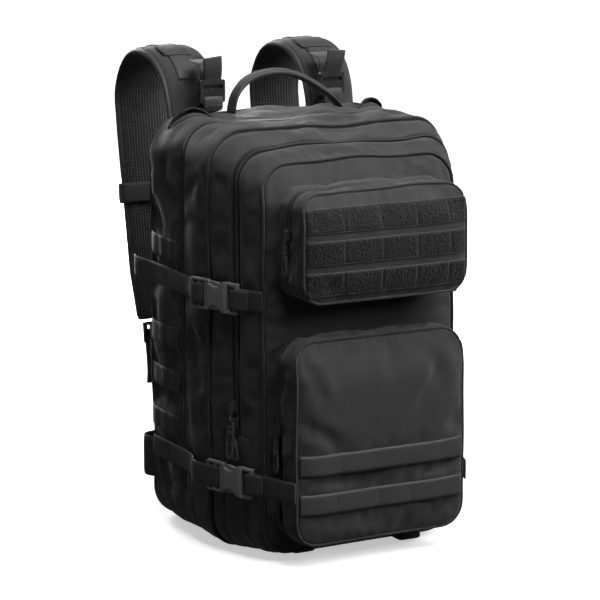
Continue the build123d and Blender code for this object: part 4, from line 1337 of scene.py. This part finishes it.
def soft_pocket(name, x, y, z, width, height, depth, direction, materials, body, node, slot):
    """A flat pocket sewn on three sides, its free top edge bound and standing off a little."""
    shape = (width, z - height / 2, z + height / 2, 12.0)
    points, flat = panel_points(shape, 0, 24, 20, 0, 1.0, 1, 14.0)
    open_top = np.clip((flat[..., 1] - z) / (height / 2), 0, 1) ** 3
    rise = depth * (0.25 + 0.75 * np.clip(points[..., 1], 0, 1) * (0.6 + 0.4 * open_top))
    rise += 0.5 * np.sin(flat[..., 0] / 16) * np.clip(points[..., 1], 0, 1)
    shaped = np.stack([flat[..., 0] + x, y + direction * rise, flat[..., 1]], -1)
    parts = Parts()
    parts.grid(shaped if direction < 0 else shaped[:, ::-1], flat if direction < 0 else flat[:, ::-1], 0)
    xz, _ = ring(shape, 24, 20)
    edge = np.stack([xz[:, 0] + x, np.full(len(xz), y + direction * depth * 0.3), xz[:, 1]], 1)
    tube(parts, resample(edge, 4, True), 1.4, 1, closed=True, flat=1.0)
    attach(parts.make(name, *materials)[0], body, slot, node)


soft_pocket("inner_net_pocket", 0, -1.2, 330, 240, 170, 3.2, 1, (NET, WEB), "main_front",
            "inner_mesh_pocket", "mesh")
soft_pocket("organiser_cloth", 0, -84.4, 250, 200, 150, 4.4, 1, (LINING, WEB), "second_front",
            "organiser_panel", "lining")
soft_pocket("bladder_sleeve", 0, 147.6, 195, 230, 330, 14.0, -1, (LINING, WEB), "rear",
            "hydration_sleeve", "lining")

# ---- buckles --------------------------------------------------------------------------


class Moulding:
    """Bars and plates in a buckle's frame: x along the strap, y across it, z outwards."""

    def __init__(self, origin, along, out):
        self.origin, self.parts = np.array(origin, float), Parts()
        along, out = unit(np.array(along, float)), unit(np.array(out, float))
        self.axes = np.array([along, np.cross(out, along), out])

    def plate(self, outline, low, high, crown=0.0):
        """An outline with two faces; crown raises the outer face's middle."""
        outline = np.array(outline, float)
        ring_count = len(outline)
        centre = outline.mean(0)
        inner = centre + (outline - centre) * 0.8
        layers = [np.column_stack([outline, np.full(ring_count, low)]),
                  np.column_stack([outline, np.full(ring_count, high)]),
                  np.column_stack([inner, np.full(ring_count, high + crown)])]
        points = np.concatenate(layers)
        faces = [list(range(ring_count))[::-1], [2 * ring_count + i for i in range(ring_count)]]
        for layer in range(2):
            for i in range(ring_count):
                j = (i + 1) % ring_count
                a = layer * ring_count
                faces.append([a + i, a + j, a + ring_count + j, a + ring_count + i])
        loops = [i for face in faces for i in face]
        self.parts.add(self.origin + points @ self.axes, faces, points[loops][:, :2])

    def bar(self, x0, x1, y0, y1, low, high, corner=0.8):
        c = corner
        outline = [(x0 + c, y0), (x1 - c, y0), (x1, y0 + c), (x1, y1 - c), (x1 - c, y1), (x0 + c, y1),
                   (x0, y1 - c), (x0, y0 + c)]
        self.plate(outline, low, high, 0.35)

    def make(self, name, body, node):
        obj, _ = self.parts.make(name, BUCKLE, smooth=False)
        finish_edges(obj, 0.0006)
        attach(obj, body, "buckle_plastic", node)


def finish_edges(obj, width):
    edges = obj.modifiers.new("rounded_edges", "BEVEL")
    edges.width = width
    edges.segments = 3
    edges.limit_method = "ANGLE"
    edges.angle_limit = math.radians(30)
    edges.harden_normals = True


def socket_half(form, half, length, thick):
    """The socket: a waisted body with a mouth, and a bar behind for the webbing."""
    t = thick / 2
    waist, back = half - 6.5, length * 0.66
    outline = [(0, half - 4.5), (2.0, half - 3.6), (length * 0.10, waist + 1.5), (length * 0.17, waist),
               (length * 0.34, waist), (length * 0.42, waist + 1.8), (length * 0.47, half - 0.6),
               (length * 0.52, half), (back, half)]
    outline = outline + [(x, -y) for x, y in reversed(outline)]
    form.plate(outline, 0.9, t, 0.5)
    form.plate(outline, -t, -0.9, 0.2)
    form.plate([(x, y * 0.9) for x, y in outline], -1.2, 1.2)
    form.bar(back - 1.5, length, half - 3.2, half, -t * 0.62, t * 0.62)
    form.bar(back - 1.5, length, -half, 3.2 - half, -t * 0.62, t * 0.62)
    form.bar(length - 4.2, length, -half + 1, half - 1, -t * 0.55, t * 0.55)
    form.bar(length * 0.54, length * 0.60, -half * 0.62, half * 0.62, t - 0.2, t + 0.7)


def plug_half(form, half, length, socket_length, thick):
    """The plug: a ladder frame for the webbing, and two sprung arms with a guide between."""
    t = thick * 0.3
    for side in (-1, 1):
        y0, y1 = sorted((side * half, side * (half - 2.8)))
        form.bar(-length, 0.5, y0, y1, -t, t)
        reach = socket_length * 0.44
        arm = [(0, half - 6.0), (0, half - 2.6), (reach * 0.22, half - 1.4), (reach * 0.62, half - 1.6),
               (reach * 0.86, half - 3.0), (reach, half - 5.2), (reach * 0.95, half - 6.6),
               (reach * 0.5, half - 5.0)]
        form.plate([(x, side * y) for x, y in (arm if side < 0 else arm[::-1])], -t * 0.8, t * 0.8)
    for x0, x1 in ((-length, -length + 3.8), (-length * 0.62, -length * 0.46), (-length * 0.24, 0.6)):
        form.bar(x0, x1, -half + 1, half - 1, -t * 0.86, t * 0.86)
    form.bar(-0.5, socket_length * 0.4, -3.0, 3.0, -t * 0.7, t * 0.7)


all_sockets = Parts()
for level, (run, along, z, _, _) in zip(("upper", "lower"), STRAP_LEVELS):
    for side, word in ((1, "left"), (-1, "right")):
        (x0, y0), (x1, y1) = [(x * side, y) for x, y in run]
        direction = unit(np.array((x1 - x0, y1 - y0, 0.0)))
        out = np.array((direction[1] * side, -direction[0] * side, 0.0))
        origin = np.array((x0, y0, z)) + direction * along
        form = Moulding(origin, direction, out)
        socket_half(form, 18.0, 46.0, 9.0)
        shift = all_sockets.count
        all_sockets.verts += form.parts.verts
        all_sockets.faces += [[i + shift for i in face] for face in form.parts.faces]
        all_sockets.uvs += form.parts.uvs
        all_sockets.slots += form.parts.slots
        all_sockets.count += form.parts.count
        form = Moulding(origin, direction, out)
        plug_half(form, 18.0, 28.0, 46.0, 9.0)
        form.make(f"{level}_{word}_plug_moulding", f"{level}_{word}_plug", f"{level}_{word}_buckle_plug")
socket_mouldings, _ = all_sockets.make("compression_socket_mouldings", BUCKLE, smooth=False)
finish_edges(socket_mouldings, 0.0006)
attach(socket_mouldings, "second_front", "buckle_plastic", "compression_sockets")

for name, origin, out, half, plug_length, socket_length, thick, fixed, moving in (
        ("chest", chest_point(0, 16.8), chest_back, 17.0, 24.0, 40.0, 8.0, "chest_strap", "chest_plug"),
        ("belt", np.array((-6.0, 195.6, 74.0)), np.array(Y), 32.0, 38.0, 54.0, 12.0, "rear", "belt_plug")):
    form = Moulding(origin, (-1.0, 0, 0), out)
    socket_half(form, half, socket_length, thick)
    form.make(name + "_socket_moulding", fixed, name + "_buckle_socket")
    form = Moulding(origin, (-1.0, 0, 0), out)
    plug_half(form, half, plug_length, socket_length, thick)
    form.make(name + "_plug_moulding", moving, name + "_buckle_plug")

# ---- hard parts kept from the CAD model -----------------------------------------------

for name, node in frame["nodes"].items():
    if node.hide_render:
        continue
    if name.endswith("_slider"):
        material = METAL
    elif name == "frame_sheet":
        material = SHEET
    else:
        material = LOCK
    node.data.materials.clear()
    node.data.materials.append(material)
    finish_edges(node, 0.0004 if material is METAL else 0.0007)

# The cloth gets its thickness last, so that nothing above was laid on its lining.
for obj, cap in SIMULATED:
    thicken(obj)

# ---- stage ----------------------------------------------------------------------------


def stage_plane(name, size, location, rotation, material):
    half = size / 2
    mesh = bpy.data.meshes.new(name)
    mesh.from_pydata([(-half, -half, 0), (half, -half, 0), (half, half, 0), (-half, half, 0)], [],
                     [(0, 1, 2, 3)])
    mesh.materials.append(material)
    obj = bpy.data.objects.new(name, mesh)
    obj.location, obj.rotation_euler = location, rotation
    scene.collection.objects.link(obj)
    return obj


floor_shader = Shader("Studio_floor", (0.93, 0.93, 0.93), 0.9, **{"Specular_IOR_Level": 0.0})
floor_shader.main.inputs["Emission Color"].default_value = (1, 1, 1, 1)
ground = floor_shader.coordinates("Object")
away = floor_shader.add("ShaderNodeVectorMath", {0: ground}, operation="LENGTH").outputs["Value"]
glow = floor_shader.add("ShaderNodeMapRange", {"Value": away, "From Min": 0.5, "From Max": 2.0,
                                               "To Min": 0.5, "To Max": 1.05})
floor_shader.tree.links.new(glow.outputs["Result"], floor_shader.main.inputs["Emission Strength"])
floor = stage_plane("Studio_floor", 60.0, (0, 0, 0), (0, 0, 0), floor_shader.material)
backdrop_shader = Shader("Studio_backdrop", (0, 0, 0), 1.0, **{"Specular_IOR_Level": 0.0})
backdrop_shader.main.inputs["Emission Color"].default_value = (1, 1, 1, 1)
backdrop_shader.main.inputs["Emission Strength"].default_value = 1.05
quarter = math.pi / 2
walls = []
for i in range(4):
    middle = (29 * math.sin(i * quarter), 29 * math.cos(i * quarter), 0)
    walls.append(stage_plane(f"Studio_backdrop_{i}", 60.0, middle, (quarter, 0, -i * quarter),
                             backdrop_shader.material))
walls.append(stage_plane("Studio_backdrop_top", 60.0, (0, 0, 29), (0, 0, 0), backdrop_shader.material))
for obj in [floor, *walls]:
    obj.visible_diffuse = obj.visible_glossy = False
    obj.visible_shadow = obj is floor

world = bpy.data.worlds.new("Studio")
world.use_nodes = True
world.node_tree.nodes["Background"].inputs["Color"].default_value = (1, 1, 1, 1)
world.node_tree.nodes["Background"].inputs["Strength"].default_value = 0.07
scene.world = world
scene.view_settings.view_transform = "Standard"
scene.view_settings.look = "None"


def softbox(name, size, location, target, power):
    light = bpy.data.lights.new(name, "AREA")
    light.shape = "RECTANGLE"
    light.size, light.size_y, light.energy = size[0], size[1], power
    obj = bpy.data.objects.new(name, light)
    obj.location = location
    obj.rotation_euler = (Vector(target) - Vector(location)).to_track_quat("-Z", "Y").to_euler()
    scene.collection.objects.link(obj)


softbox("Top_softbox", (1.6, 1.4), (0.25, -0.75, 1.9), (0, -0.02, 0.35), 72)
softbox("Front_right_softbox", (0.9, 1.0), (1.3, -2.0, 1.5), (0, -0.1, 0.25), 46)
softbox("Left_fill", (0.7, 1.4), (-1.9, -0.6, 0.7), (0, 0, 0.25), 3)
softbox("Rear_fill", (1.4, 1.4), (0.35, 2.5, 0.8), (0, 0.15, 0.3), 95)

lens = bpy.data.cameras.new("Camera")
lens.lens, lens.sensor_width = 160.8, 36.0
camera = bpy.data.objects.new("Camera", lens)
camera.location = (-1.4955, -2.7508, 0.9397)
aim = Vector((-0.0329, 0.0, 0.2889)) - camera.location
camera.rotation_euler = aim.to_track_quat("-Z", "Y").to_euler()
scene.collection.objects.link(camera)
scene.camera = camera
